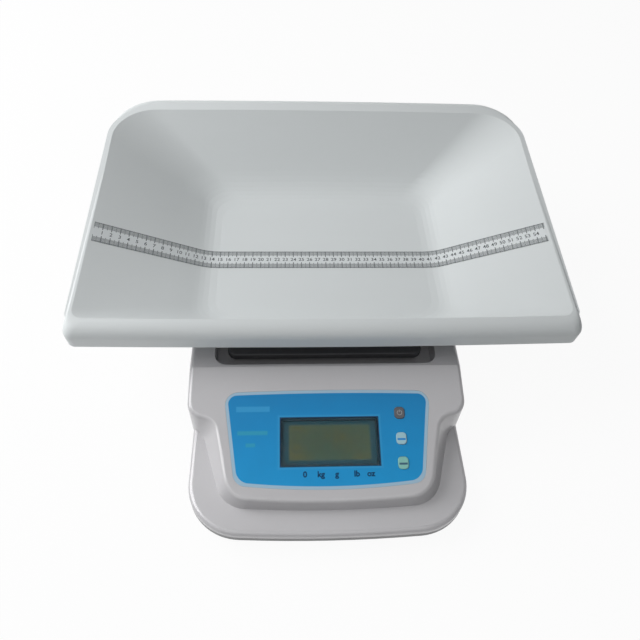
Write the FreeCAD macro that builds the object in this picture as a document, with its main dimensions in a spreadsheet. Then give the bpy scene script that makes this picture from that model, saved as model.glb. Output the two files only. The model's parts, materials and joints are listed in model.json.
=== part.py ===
import FreeCAD
import Part

import math
import os

import Sketcher

# A digital baby weighing scale. The removable tray rests on four rubber caps of a cast
# support, which stands on the free end of a load cell inside the base. The base is a
# two-piece housing whose front is a sloped console with the display and three keys.
# The frame: x across, y from the front to the back, z up from the table. The origin is
# under the middle of the whole scale.

App = FreeCAD
doc = FreeCAD.newDocument("baby_scale")
sheet = doc.addObject("Spreadsheet::Sheet", "sheet")

# Driving sizes in millimetres. An entry is a number or a formula over earlier names.
SIZES = [
    # whole object
    ("tray_length", 562),
    ("tray_depth", 382),
    ("console_reach", 176),
    ("overall_depth", "=tray_depth + console_reach"),
    ("base_front", "=-overall_depth / 2"),
    ("tray_front", "=base_front + console_reach"),
    ("wall_tray", 3),
    ("wall_housing", 2.5),
    ("part_fit", 0.2),
    ("film_fit", 0.15),
    ("root_depth", 1),
    # tray rim: a plane that climbs towards the back, with a rolled lip all round
    ("rim_height", 129.5),
    ("rim_rise", 46.2),
    ("rim_tilt", "=atan(rim_rise / tray_depth)"),
    ("lip_drop", 27),
    ("rim_depth", "=(tray_depth - lip_drop * sin(rim_tilt)) / cos(rim_tilt)"),
    ("rim_half", "=tray_length / 2"),
    ("rim_half_back", "=rim_half * 0.97"),
    ("rim_round_front", 10),
    ("mouth_round_front", 12),
    ("rim_round_back", 60),
    ("rim_bow", 3),
    ("lip_front", 19),
    ("lip_side", 8.5),
    ("lip_back", 32),
    ("lip_roll", 12),
    # tray inside
    ("floor_top", 98),
    ("floor_half", 140),
    ("floor_front", "=tray_front + 40"),
    ("floor_back", "=tray_front + 269"),
    ("floor_round", 26),
    ("fold_side", 13),
    ("fold_front", 10),
    ("fold_back", 24),
    # base housing
    ("base_half", 150),
    ("base_half_front", "=base_half - 1"),
    ("base_back", "=tray_front + 264"),
    ("base_round_front", 58),
    ("base_round_back", 30),
    ("base_bow", 7),
    ("base_clearance", 8),
    ("pan_edge", 4),
    ("pan_rim_tall", 10),
    ("pan_rim_thick", 1.6),
    ("seam_fit", 0.15),
    ("seam_height", 17),
    ("skirt_bottom", "=seam_height + 0.6"),
    ("ledge_height", 27),
    ("ledge_edge", 5),
    ("deck_height", 78),
    ("shoulder_front", "=tray_front - 62"),
    ("shoulder_half", "=base_half + 2"),
    ("shoulder_width", 5),
    ("shoulder_round", 18),
    ("shoulder_bow", 3),
    # console: its sloped face runs from slope_front, slope_low up to the deck
    ("ledge_depth", 26),
    ("console_front", "=base_front + ledge_depth"),
    ("console_half_back", "=base_half - shoulder_width"),
    ("console_half_front", "=console_half_back - 33"),
    ("console_round", 34),
    ("console_draft", 0.4),
    ("console_overlap", 30),
    ("console_corner_back", 3),
    ("console_bow", 5),
    ("lean_front", 0.6),
    ("lean_corner", 0.5),
    ("slope_front", "=console_front + 6"),
    ("slope_low", 42),
    ("slope_back", "=tray_front - 5"),
    ("slope_angle", "=atan((deck_height - slope_low) / (slope_back - slope_front))"),
    ("cut_reach", 80),
    ("slope_length", "=(slope_back - slope_front) / cos(slope_angle)"),
    ("shoulder_blend", 20),
    ("top_edge", 5),
    # recess in the deck, where the tray support lies
    ("recess_half", "=base_half - 25"),
    ("recess_front", "=slope_back + 3"),
    ("recess_back", "=base_back - 28"),
    ("recess_floor", 54),
    ("recess_corner", 14),
    # what lies on the console's face, measured across and up the face
    ("panel_half_front", "=console_half_front - 13"),
    ("panel_half_back", "=panel_half_front + 14"),
    ("panel_low", 9),
    ("panel_high", "=slope_length - 28"),
    ("panel_corner", 14),
    ("panel_bow_front", 6),
    ("panel_bow_back", 2),
    ("panel_sink", 0.8),
    ("film_drop", 0.1),
    ("window_x", 1),
    ("window_up", 59),
    ("key_x", "=panel_half_front - 21.5"),
    ("window_wide", "=2 * (key_x - 25)"),
    ("window_tall", 52),
    ("window_corner", 3),
    ("window_thick", 0.5),
    ("bezel_lap", 1.5),
    ("bezel_wall", 2.5),
    ("bezel_flange", 4.5),
    ("bezel_deep", 2.1),
    ("glass_thick", 2.2),
    ("light_thick", 3.6),
    ("key_power_up", 89),
    ("key_tare_up", 61),
    ("key_unit_up", 35),
    ("key_wide", 11),
    ("key_tall", 13),
    ("key_corner", 4),
    ("key_gap", 0.3),
    ("key_proud", 0.8),
    ("key_root", 2.6),
    ("key_edge", 0.7),
    ("key_flange", 1.4),
    ("key_flange_thick", 1.2),
    ("key_stem", 2.5),
    ("key_stem_low", 3.8),
    ("plunger_radius", 1.7),
    ("plunger_tall", 1.4),
    ("plunger_low", 9.6),
    ("switch_wide", 6),
    ("switch_tall", 4),
    ("board_depth", 13),
    ("board_half", "=panel_half_front - 3"),
    ("board_low", 20),
    ("board_high", "=panel_high - 7.5"),
    ("board_thick", 1.6),
    ("board_corner", 3),
    ("board_post", 3.5),
    ("board_bore", 8),
    ("board_screw", 1.25),
    ("board_screw_head", 2.6),
    ("board_screw_tall", 1.8),
    ("plug_x", 45),
    ("plug_wide", 11),
    ("plug_deep", 6),
    ("plug_tall", 6),
    ("board_screw_x", "=board_half - 6"),
    ("board_screw_low", "=board_low + 7"),
    ("board_screw_high", "=board_high - 7"),
    # screws that close the housing
    ("screw_radius", 1.5),
    ("screw_bite", 6),
    ("screw_head", 2.7),
    ("screw_head_tall", 2.2),
    ("screw_seat", 3),
    ("post_radius", 4),
    ("screw_x_front", "=console_half_front - 37"),
    ("screw_y_front", "=base_front + 16"),
    ("screw_x_side", "=base_half - 14"),
    ("screw_y_mid", "=shoulder_front + 78"),
    ("screw_y_rear", "=base_back - 108"),
    ("screw_x_back", "=base_half - 52"),
    ("screw_y_back", "=base_back - 12"),
    # weighing gear
    ("cell_long", 130),
    ("cell_wide", 30),
    ("cell_tall", 22),
    ("cell_y", "=recess_back - 95"),
    ("cell_low", 24),
    ("cell_end", 36),
    ("cell_free_y", "=cell_y + cell_long / 2 - cell_end / 2"),
    ("cell_fixed_y", "=cell_y - cell_long / 2 + cell_end / 2"),
    ("cell_bolt", 2.5),
    ("bolt_off", 10),
    ("bolt_fit", 0.15),
    ("bolt_head", 4.2),
    ("bolt_head_tall", 4),
    ("bolt_key", 2),
    ("eye_off", 13),
    ("eye_radius", 8),
    ("eye_slot", 5),
    ("potting_thick", 1.2),
    ("potting_long", 34),
    ("potting_tall", 12),
    ("plinth_wide", "=cell_wide + 36"),
    ("plinth_long", "=cell_end + 20"),
    ("plinth_wall", 8),
    ("spacer_room", 7),
    ("plate_low", 17),
    ("plate_thick", 3),
    ("pad_cap", 14),
    ("support_low", 62),
    ("support_thick", 8),
    ("support_gap", 13),
    ("support_gap_front", 19),
    ("support_border", 4),
    ("support_corner", 10),
    ("support_edge", 2),
    ("support_skin", 3),
    ("bar_deep", "=2 * pad_cap"),
    ("spine_half", 29),
    ("spine_rib_half", 22),
    ("spine_rib_tall", 5),
    ("spine_rib_wall", 4),
    ("pad_x", "=recess_half - 30"),
    ("pad_front_y", "=recess_front + 73"),
    ("pad_back_y", "=recess_back - 25"),
    ("pad_post", 11),
    ("post_short", 7),
    ("cap_tall", 15),
    ("cap_bore", 9),
    ("cap_ring", 3.5),
    ("cap_ring_tall", 4),
    ("stop_x", "=pad_x - 20"),
    ("stop_gap", 1),
    ("travel", 0.8),
    # sockets in the back wall and the deck
    ("jack_x", "=base_half - 92"),
    ("jack_low", 30),
    ("jack_deep", 11.5),
    ("jack_bore", 2.8),
    ("jack_pin", 0.65),
    ("socket_play", 0.3),
    ("jack_wide", 14),
    ("jack_tall", 11),
    ("level_x", "=-jack_x"),
    ("level_y", "=base_back - 13"),
    ("level_radius", 8),
    ("level_tall", 9.8),
    ("level_flange", 3),
    ("level_flange_tall", 1.2),
    # feet
    ("foot_x", "=base_half - 40"),
    ("foot_front_y", "=base_front + 60"),
    ("foot_back_x", "=base_half - 32"),
    ("foot_back_y", "=base_back - 30"),
    ("foot_radius", 12.5),
    ("foot_tall", 5),
    ("foot_edge", 1.2),
    ("foot_seat", 3),
    ("foot_boss", 8),
    ("stud_radius", 3),
    ("stud_long", 21),
    ("stud_hex", 5.8),
    ("stud_hex_tall", 2.5),
    ("stud_fit", 0.05),
    ("insert_radius", 4.5),
    ("insert_tall", 10),
    # inside the lower housing
    ("plate_screw_x", "=pad_x - 3"),
    ("plate_screw_front", "=pad_front_y - 25"),
    ("plate_screw_back", "=pad_back_y + 17"),
    ("plate_mid_y", "=(plate_screw_front + plate_screw_back) / 2"),
    ("plate_post", 6),
    ("stop_radius", 3),
    ("stop_room", 1.5),
    ("nut_hex", 5.8),
    ("nut_tall", 5),
    ("floor_under", "=floor_top - wall_tray"),
    ("battery_y", "=base_front + 105"),
    ("battery_floor_tall", 5),
    ("cell_radius", 7.1),
    ("cell_length", 50.3),
    ("nub_radius", 2.7),
    ("nub_tall", 1.2),
    ("contact_thick", 0.6),
    ("contact_tall", 12),
    ("battery_room_long", "=2 * (cell_length + 2.7)"),
    ("battery_room_deep", "=4 * cell_radius + 3.6"),
    ("battery_wall", 3),
    ("door_long", 114),
    ("door_deep", 40),
    ("door_thick", 2),
    ("door_seat", 2.2),
    ("door_play", 0.3),
    ("door_travel", 6),
    ("tongue_wide", 60),
    ("tongue_deep", 4),
    ("tongue_tall", 1),
    # the ruler printed film across the tray
    ("tape_y", "=tray_front + 141"),
    ("tape_wide", 28),
    ("tape_half", "=rim_half - lip_side - 5"),
    ("tape_thick", 0.3),
    ("tape_gap", 0.05),
]


def fill_sheet():
    for row, (name, value) in enumerate(SIZES, start=1):
        sheet.set("A%d" % row, name)
        sheet.set("B%d" % row, str(value))
        sheet.setAlias("B%d" % row, name)
    doc.recompute()


class Size:
    """A length that knows its present value and the expression that yields it."""

    def __init__(self, value, text):
        self.value = float(value)
        self.text = text

    def __add__(self, other):
        other = size(other)
        return Size(self.value + other.value, "(%s + %s)" % (self.text, other.text))

    def __radd__(self, other):
        return size(other) + self

    def __sub__(self, other):
        other = size(other)
        return Size(self.value - other.value, "(%s - %s)" % (self.text, other.text))

    def __rsub__(self, other):
        return size(other) - self

    def __mul__(self, other):
        other = size(other)
        return Size(self.value * other.value, "(%s * %s)" % (self.text, other.text))

    def __rmul__(self, other):
        return size(other) * self

    def __truediv__(self, other):
        other = size(other)
        return Size(self.value / other.value, "(%s / %s)" % (self.text, other.text))

    def __rtruediv__(self, other):
        return size(other) / self

    def __neg__(self):
        return Size(-self.value, "(-1 * %s)" % self.text)


def size(thing):
    """A Size from a Size, a number or the name of a cell."""
    if isinstance(thing, Size):
        return thing
    if isinstance(thing, str):
        cell = sheet.get(thing)
        return Size(getattr(cell, "Value", cell), "sheet.%s" % thing)
    return Size(thing, "(%r)" % float(thing))


def sine(angle):
    return Size(math.sin(math.radians(angle.value)), "sin(%s)" % angle.text)


def cosine(angle):
    return Size(math.cos(math.radians(angle.value)), "cos(%s)" % angle.text)


fill_sheet()


# ---------------------------------------------------------------- sketch helpers

def new_body(label):
    body = doc.addObject("PartDesign::Body", label)
    body.Label = label
    return body


def new_sketch(body, label, role="XY_Plane", lift=0, back=0, tilt=None):
    """A sketch on an origin plane of its body. lift moves it along the plane's normal, back
    moves it along the plane's second axis and tilt turns it about the plane's first axis."""
    plane = [f for f in body.Origin.OriginFeatures if f.Role == role][0]
    sketch = body.newObject("Sketcher::SketchObject", label)
    sketch.AttachmentSupport = [(plane, "")]
    sketch.MapMode = "FlatFace"
    if tilt is not None:
        turn = App.Rotation(App.Vector(1, 0, 0), tilt.value)
        sketch.AttachmentOffset = App.Placement(App.Vector(0, 0, 0), turn)
        sketch.setExpression(".AttachmentOffset.Rotation.Angle", tilt.text)
    sketch.setExpression(".AttachmentOffset.Base.z", size(lift).text)
    sketch.setExpression(".AttachmentOffset.Base.y", size(back).text)
    return sketch


def bind(sketch, kind, *arguments):
    """Add a dimension to a sketch. Its last argument is the Size that drives it."""
    wanted = size(arguments[-1])
    index = sketch.addConstraint(Sketcher.Constraint(kind, *arguments[:-1], wanted.value))
    sketch.setExpression("Constraints[%d]" % index, wanted.text)


def pin_point(sketch, geometry, point, x, y):
    bind(sketch, "DistanceX", -1, 1, geometry, point, x)
    bind(sketch, "DistanceY", -1, 1, geometry, point, y)


def touch_centre(near, far, arc_y, arc_radius, corner):
    """Centre of a corner arc inside the line near-far and inside the big arc about
    (0, arc_y) whose lowest part runs through near."""
    along = (far - near).normalize()
    start = near + App.Vector(-along.y, along.x, 0) * corner
    reach = start - App.Vector(0, arc_y, 0)
    half = reach.dot(along)
    root = math.sqrt(half * half - reach.dot(reach) + (arc_radius - corner) ** 2)
    return start - along * (half + root)


def mirrored(v):
    return App.Vector(-v.x, v.y, 0)


def flipped(v):
    return App.Vector(v.x, -v.y, 0)


def add_arc(sketch, centre, radius, first, last):
    """An anticlockwise arc about centre, from one direction to another."""
    start = math.atan2(first.y, first.x)
    end = math.atan2(last.y, last.x)
    if end < start:
        end += 2 * math.pi
    circle = Part.Circle(centre, App.Vector(0, 0, 1), radius)
    return sketch.addGeometry(Part.ArcOfCircle(circle, start, end), False)


def add_outline(sketch, half_front, half_back, front, back, round_front, round_back, bow,
                bow_back=None):
    """A rounded trapezium about the y axis. Its front and back edges bulge outwards by bow,
    as far as the lines front and back, and its sides run through the four corners."""
    half_front, half_back, front, back, round_front, round_back, bow = map(
        size, (half_front, half_back, front, back, round_front, round_back, bow))
    bow_back = bow if bow_back is None else size(bow_back)
    arc_front = (half_front * half_front + bow * bow) / (2 * bow)
    arc_back = (half_back * half_back + bow_back * bow_back) / (2 * bow_back)
    middle_front = front + arc_front
    middle_back = back - arc_back
    low = App.Vector(half_front.value, (front + bow).value, 0)
    high = App.Vector(half_back.value, (back - bow_back).value, 0)
    side = (high - low).normalize()
    out = App.Vector(side.y, -side.x, 0)
    big_low = App.Vector(0, middle_front.value, 0)
    big_high = App.Vector(0, middle_back.value, 0)
    c_low = touch_centre(low, high, middle_front.value, arc_front.value, round_front.value)
    c_high = flipped(touch_centre(flipped(high), flipped(low), -middle_back.value,
                                  arc_back.value, round_back.value))
    down = c_low - big_low
    up = c_high - big_high
    r_low = round_front.value
    r_high = round_back.value
    line = Part.LineSegment(c_low + out * r_low, c_high + out * r_high)
    line_left = Part.LineSegment(mirrored(line.EndPoint), mirrored(line.StartPoint))
    loop = [
        add_arc(sketch, big_low, arc_front.value, mirrored(down), down),
        add_arc(sketch, c_low, r_low, down, out),
        sketch.addGeometry(line, False),
        add_arc(sketch, c_high, r_high, out, up),
        add_arc(sketch, big_high, arc_back.value, up, mirrored(up)),
        add_arc(sketch, mirrored(c_high), r_high, mirrored(up), mirrored(out)),
        sketch.addGeometry(line_left, False),
        add_arc(sketch, mirrored(c_low), r_low, mirrored(out), mirrored(down)),
    ]
    for here, after in zip(loop, loop[1:] + loop[:1]):
        sketch.addConstraint(Sketcher.Constraint("Tangent", here, 2, after, 1))
    corners = []
    for x, y in ((low.x, low.y), (high.x, high.y), (-high.x, high.y), (-low.x, low.y)):
        corners.append(sketch.addGeometry(Part.Point(App.Vector(x, y, 0)), True))
    pin_point(sketch, corners[0], 1, half_front, front + bow)
    pin_point(sketch, corners[1], 1, half_back, back - bow_back)
    pin_point(sketch, corners[2], 1, -half_back, back - bow_back)
    pin_point(sketch, corners[3], 1, -half_front, front + bow)
    for corner, edge in ((0, 2), (1, 2), (2, 6), (3, 6), (0, 0), (1, 4)):
        sketch.addConstraint(
            Sketcher.Constraint("PointOnObject", corners[corner], 1, loop[edge]))
    for edge, middle in ((0, middle_front), (4, middle_back)):
        sketch.addConstraint(Sketcher.Constraint("PointOnObject", loop[edge], 3, -2))
        bind(sketch, "DistanceY", -1, 1, loop[edge], 3, middle)
    for edge, radius in ((1, round_front), (3, round_back), (5, round_back), (7, round_front)):
        bind(sketch, "Radius", loop[edge], radius)


def loft(body, label, kind, sections, ruled):
    feature = body.newObject("PartDesign::" + kind, label)
    feature.Profile = sections[0]
    feature.Sections = sections[1:]
    feature.Ruled = ruled
    doc.recompute()
    return feature


def pad(body, label, sketch, length, kind="Pad", reverse=False):
    feature = body.newObject("PartDesign::" + kind, label)
    feature.Profile = sketch
    feature.Type = 0
    feature.setExpression("Length", size(length).text)
    feature.Reversed = reverse
    doc.recompute()
    return feature


# ------------------------------------------------- helpers for primitives and joins

def put(item, x=0, y=0, z=0):
    """Drive the place of an object from the sheet."""
    for axis, distance in zip("xyz", (x, y, z)):
        item.setExpression(".Placement.Base." + axis, size(distance).text)
    return item


def block(label, x, y, z, wide, deep, tall):
    """A box centred on x and y that stands on z."""
    item = doc.addObject("Part::Box", label)
    wide, deep, tall = size(wide), size(deep), size(tall)
    item.setExpression("Length", wide.text)
    item.setExpression("Width", deep.text)
    item.setExpression("Height", tall.text)
    return put(item, size(x) - wide / 2, size(y) - deep / 2, z)


def rod(label, x, y, z, radius, length, axis=(0, 0, 1)):
    """A cylinder from x, y, z along an axis."""
    item = doc.addObject("Part::Cylinder", label)
    item.setExpression("Radius", size(radius).text)
    item.setExpression("Height", size(length).text)
    turn = App.Rotation(App.Vector(0, 0, 1), App.Vector(*axis))
    item.Placement = App.Placement(App.Vector(0, 0, 0), turn)
    return put(item, x, y, z)


def hexagon(label, x, y, z, corner_radius, tall):
    item = doc.addObject("Part::Prism", label)
    item.Polygon = 6
    item.setExpression("Circumradius", size(corner_radius).text)
    item.setExpression("Height", size(tall).text)
    return put(item, x, y, z)


def joined(label, items):
    item = doc.addObject("Part::MultiFuse", label)
    item.Shapes = items
    return item


def without(label, base, tools):
    item = doc.addObject("Part::Cut", label)
    item.Base = base
    item.Tool = tools[0] if len(tools) == 1 else joined(label + "_tools", tools)
    return item


def add_rectangle(sketch, x, y, wide, deep, corner):
    """A rectangle with rounded corners, centred on x and y."""
    x, y, wide, deep, corner = map(size, (x, y, wide, deep, corner))
    left, right = (x - wide / 2).value, (x + wide / 2).value
    low, high = (y - deep / 2).value, (y + deep / 2).value
    r = corner.value
    spots = [(right - r, low + r), (right - r, high - r), (left + r, high - r), (left + r, low + r)]
    ways = [App.Vector(0, -1, 0), App.Vector(1, 0, 0), App.Vector(0, 1, 0), App.Vector(-1, 0, 0)]
    loop = []
    for index, (cx, cy) in enumerate(spots):
        here = App.Vector(cx, cy, 0)
        loop.append(add_arc(sketch, here, r, ways[index], ways[(index + 1) % 4]))
        nx, ny = spots[(index + 1) % 4]
        way = ways[(index + 1) % 4]
        line = Part.LineSegment(here + way * r, App.Vector(nx, ny, 0) + way * r)
        loop.append(sketch.addGeometry(line, False))
    for here, after in zip(loop, loop[1:] + loop[:1]):
        sketch.addConstraint(Sketcher.Constraint("Tangent", here, 2, after, 1))
    sketch.addConstraint(Sketcher.Constraint("Vertical", loop[1]))
    sketch.addConstraint(Sketcher.Constraint("Horizontal", loop[3]))
    sketch.addConstraint(Sketcher.Constraint("Vertical", loop[5]))
    pin_point(sketch, loop[0], 3, x + wide / 2 - corner, y - deep / 2 + corner)
    pin_point(sketch, loop[4], 3, x - wide / 2 + corner, y + deep / 2 - corner)
    for index in (0, 2, 4, 6):
        bind(sketch, "Radius", loop[index], corner)


def add_circle(sketch, x, y, radius):
    x, y, radius = map(size, (x, y, radius))
    circle = Part.Circle(App.Vector(x.value, y.value, 0), App.Vector(0, 0, 1), radius.value)
    index = sketch.addGeometry(circle, False)
    pin_point(sketch, index, 3, x, y)
    bind(sketch, "Radius", index, radius)


def plate(label, outline, tall, holes=(), lift=0):
    """A flat piece: its outline and its holes are written by the two callables."""
    body = new_body(label)
    sketch = new_sketch(body, label + "_outline", lift=lift)
    outline(sketch)
    pad(body, label + "_pad", sketch, tall)
    for index, hole in enumerate(holes):
        cut = new_sketch(body, "%s_hole_%d" % (label, index), lift=lift)
        hole(cut)
        pad(body, "%s_pocket_%d" % (label, index), cut, tall, "Pocket", True)
    return body


def edge_names(shape, test):
    """Names of the edges that pass a test of their middle point and their two ends."""
    names = []
    for index, edge in enumerate(shape.Edges, start=1):
        middle = edge.valueAt((edge.FirstParameter + edge.LastParameter) / 2)
        if test(middle, edge.Vertexes[0].Point, edge.Vertexes[-1].Point):
            names.append("Edge%d" % index)
    return names


def dress(body, label, kind, test, amount):
    """A fillet or chamfer on the edges of a body that pass a test."""
    last = body.Tip
    names = edge_names(last.Shape, test)
    feature = body.newObject("PartDesign::" + kind, label)
    feature.Base = (last, names)
    feature.setExpression("Radius" if kind == "Fillet" else "Size", size(amount).text)
    doc.recompute()
    return feature


# ---------------------------------------------------------------- housing shells

slope = size("slope_angle")


def on_slope(item, lift=0):
    """Lay an object on the console's sloped face. Its own x and y then run across and up
    the face, and its z points out of it."""
    lift = size(lift)
    turn = App.Rotation(App.Vector(1, 0, 0), slope.value)
    item.Placement = App.Placement(App.Vector(0, 0, 0), turn)
    item.setExpression(".Placement.Rotation.Angle", slope.text)
    return put(item, 0, size("slope_front") - lift * sine(slope),
               size("slope_low") + lift * cosine(slope))


def console_mass(label, inset):
    """The outside of the upper housing, or with an inset the room inside it."""
    inset = size(inset)
    body = new_body(label)
    skirt = new_sketch(body, label + "_skirt_outline", lift="skirt_bottom")
    add_outline(skirt, size("base_half_front") - inset, size("base_half") - inset,
                size("base_front") + inset, size("base_back") - inset,
                size("base_round_front") - inset, size("base_round_back") - inset, "base_bow")
    pad(body, label + "_skirt", skirt, size("ledge_height") - "skirt_bottom" - inset)
    level = (size("ledge_height") - inset).value
    dress(body, label + "_skirt_edge", "Fillet", lambda m, *ends: abs(m.z - level) < 0.01,
          size("ledge_edge") - inset / 2)
    rear = new_sketch(body, label + "_rear_outline", lift="skirt_bottom")
    add_outline(rear, size("shoulder_half") - inset, size("shoulder_half") - inset,
                size("shoulder_front") + inset, size("base_back") - inset,
                size("shoulder_round") - inset, size("base_round_back") - inset,
                "shoulder_bow")
    pad(body, label + "_rear", rear, size("deck_height") - "skirt_bottom" - inset)
    sections = []
    for name, height in (("low", size("skirt_bottom")), ("high", size("deck_height") - inset)):
        lean = (height - "ledge_height") * "console_draft" + inset
        section = new_sketch(body, "%s_console_%s" % (label, name), lift=height)
        add_outline(section, size("console_half_front") - lean, size("console_half_back") - lean,
                    size("console_front") + lean * "lean_front",
                    size("shoulder_front") + "console_overlap",
                    size("console_round") - lean * "lean_corner", "console_corner_back",
                    "console_bow")
        sections.append(section)
    loft(body, label + "_console", "AdditiveLoft", sections, True)
    side = new_sketch(body, label + "_slope_cut", "YZ_Plane")
    drop = inset / cosine(slope)
    grade = (size("deck_height") - "slope_low") / (size("slope_back") - "slope_front")
    low = size("slope_low") - size("cut_reach") * grade - drop
    top = size("deck_height") - inset
    bend = size("slope_back") - (inset - drop) / grade
    start = size("slope_front") - "cut_reach"
    corners = [(start, low), (bend, top), (bend, top + "cut_reach"), (start, top + "cut_reach")]
    lines = []
    for (x0, y0), (x1, y1) in zip(corners, corners[1:] + corners[:1]):
        line = Part.LineSegment(App.Vector(x0.value, y0.value, 0), App.Vector(x1.value, y1.value, 0))
        lines.append(side.addGeometry(line, False))
    for index, (x, y) in enumerate(corners):
        side.addConstraint(Sketcher.Constraint(
            "Coincident", lines[index], 1, lines[index - 1], 2))
        pin_point(side, lines[index], 1, x, y)
    cut = pad(body, label + "_slope", side, size("base_half") * 2 + "cut_reach", "Pocket")
    cut.SideType = "Symmetric"
    doc.recompute()
    return body


outer = console_mass("upper_outside", 0)


def at_notch(m, first, last):
    """Whether an edge is the leaning corner where the console's side meets the shoulder."""
    return (abs(m.y - size("shoulder_front").value) < 5
            and abs(first.z - last.z) > 10 and abs(first.x - last.x) > 5)


def at_top_edge(m, *ends):
    """Whether an edge lies on the border of the sloped face or of the deck."""
    over = m.z - size("slope_low").value
    along = m.y - size("slope_front").value
    bend = size("slope_back").value
    if m.y < bend - 0.5:
        return abs(over * math.cos(math.radians(slope.value))
                   - along * math.sin(math.radians(slope.value))) < 0.02
    return m.y > bend + 0.5 and abs(m.z - size("deck_height").value) < 0.01


dress(outer, "shoulder_blend", "Fillet", at_notch, "shoulder_blend")
dress(outer, "top_edge", "Fillet", at_top_edge, "top_edge")
inner = console_mass("upper_inside", "wall_housing")

recess_wide = size("recess_half") * 2
recess_deep = size("recess_back") - "recess_front"
recess_mid = (size("recess_back") + "recess_front") / 2


def recess(label, grow, bottom):
    grow = size(grow)
    return plate(label, lambda s: add_rectangle(
        s, 0, recess_mid, recess_wide + 2 * grow, recess_deep + 2 * grow,
        size("recess_corner") + grow), size("floor_top") - bottom, lift=bottom)


hollow = without("upper_hollow", inner, [
    recess("recess_walls", "wall_housing", size("recess_floor") - "wall_housing")])
shell = without("upper_shell", outer, [hollow])

HOUSING_SCREWS = [("screw_x_front", "screw_y_front"), ("screw_x_side", "screw_y_mid"),
                  ("screw_x_side", "screw_y_rear"), ("screw_x_back", "screw_y_back")]


def both_sides(spots):
    return [(s * size(x), size(y)) for x, y in spots for s in (1, -1)]


def posts(label, spots, radius, bottom, length):
    return [rod("%s_%d" % (label, i), x, y, bottom, radius, length)
            for i, (x, y) in enumerate(both_sides(spots))]


post_top = size("deck_height") - "wall_housing" + "root_depth"
stub_top = size("ledge_height") - "wall_housing" + "root_depth"
upper_posts = posts("upper_post", HOUSING_SCREWS[1:], "post_radius", "skirt_bottom",
                    post_top - "skirt_bottom")
upper_posts += posts("upper_stub", HOUSING_SCREWS[:1], "post_radius", "skirt_bottom",
                     stub_top - "skirt_bottom")
BOARD_SCREWS = [("board_screw_x", "board_screw_low"), ("board_screw_x", "board_screw_high")]


def slope_rod(label, x, up, low, radius, length):
    """A cylinder that stands on the sloped face's own frame."""
    body = new_body(label)
    sketch = new_sketch(body, label + "_circle", lift=low)
    add_circle(sketch, x, up, radius)
    pad(body, label + "_pad", sketch, length)
    return on_slope(body)


def slope_plate(label, outline, low, tall, holes=()):
    return on_slope(plate(label, outline, tall, holes, low))


board_posts = [slope_rod("board_post_%d" % i, x, y, -size("board_depth"), "board_post",
                         size("board_depth") - "root_depth")
               for i, (x, y) in enumerate(both_sides(BOARD_SCREWS))]
KEYS = [("power", "key_power_up"), ("tare", "key_tare_up"), ("unit", "key_unit_up")]


def key_outline(up, grow):
    grow = size(grow)
    return lambda s: add_rectangle(s, "key_x", up, size("key_wide") + 2 * grow,
                                   size("key_tall") + 2 * grow, size("key_corner") + grow)


def panel_outline(grow):
    grow = size(grow)
    return lambda s: add_outline(
        s, size("panel_half_front") + grow, size("panel_half_back") + grow,
        size("panel_low") - grow, size("panel_high") + grow,
        size("panel_corner") + grow, size("panel_corner") + grow, "panel_bow_front",
        "panel_bow_back")


def window_outline(grow):
    grow = size(grow)
    return lambda s: add_rectangle(s, "window_x", "window_up", size("window_wide") + 2 * grow,
                                   size("window_tall") + 2 * grow,
                                   size("window_corner") + grow)


# A cut through a wall starts one wall behind it and ends one wall in front of it.
through = 3 * size("wall_housing")
face_back = -2 * size("wall_housing")
tools = [slope_plate("panel_seat", panel_outline("film_fit"), -size("panel_sink"), through)]
tools += [slope_plate("window_cut", window_outline(size("bezel_lap") + "part_fit"), face_back,
                      through)]
tools += [slope_plate("key_cut_%s" % name, key_outline(up, "key_gap"), face_back, through)
          for name, up in KEYS]
tools += [slope_rod("board_bore_%d" % i, x, y, -size("board_depth"), "board_screw", "board_bore")
          for i, (x, y) in enumerate(both_sides(BOARD_SCREWS))]
tools += posts("upper_bore", HOUSING_SCREWS, "screw_radius", "skirt_bottom", "screw_bite")
tools += [recess("recess_room", 0, "recess_floor")]
room_under = size("recess_floor") - 2 * size("wall_housing")
tools += [plate("spacer_opening", lambda s: add_rectangle(
    s, 0, "cell_free_y", size("cell_wide") + 2 * size("spacer_room"),
    size("cell_end") + 2 * size("spacer_room"), 6), through, lift=room_under)]
STOPS = [("stop_x", "pad_front_y"), ("stop_x", "pad_back_y")]
tools += posts("stop_opening", STOPS, size("stop_radius") + "stop_room", room_under, through)
tools += [block("jack_opening", "jack_x", size("base_back") - 2, "jack_low",
                size("jack_wide") + "socket_play", 2 * size("jack_deep"),
                size("jack_tall") + "socket_play")]
tools += [rod("level_opening", "level_x", "level_y",
              size("deck_height") - 2 * size("wall_housing"),
              size("level_radius") + "part_fit", through)]
upper = without("upper_housing", joined("upper_solid", [shell] + upper_posts + board_posts),
                tools)

# ----------------------------------------------------------------- lower housing


def base_outline(inset):
    inset = size(inset)
    return lambda s: add_outline(
        s, size("base_half_front") - inset, size("base_half") - inset, size("base_front") + inset,
        size("base_back") - inset, size("base_round_front") - inset,
        size("base_round_back") - inset, "base_bow")


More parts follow.
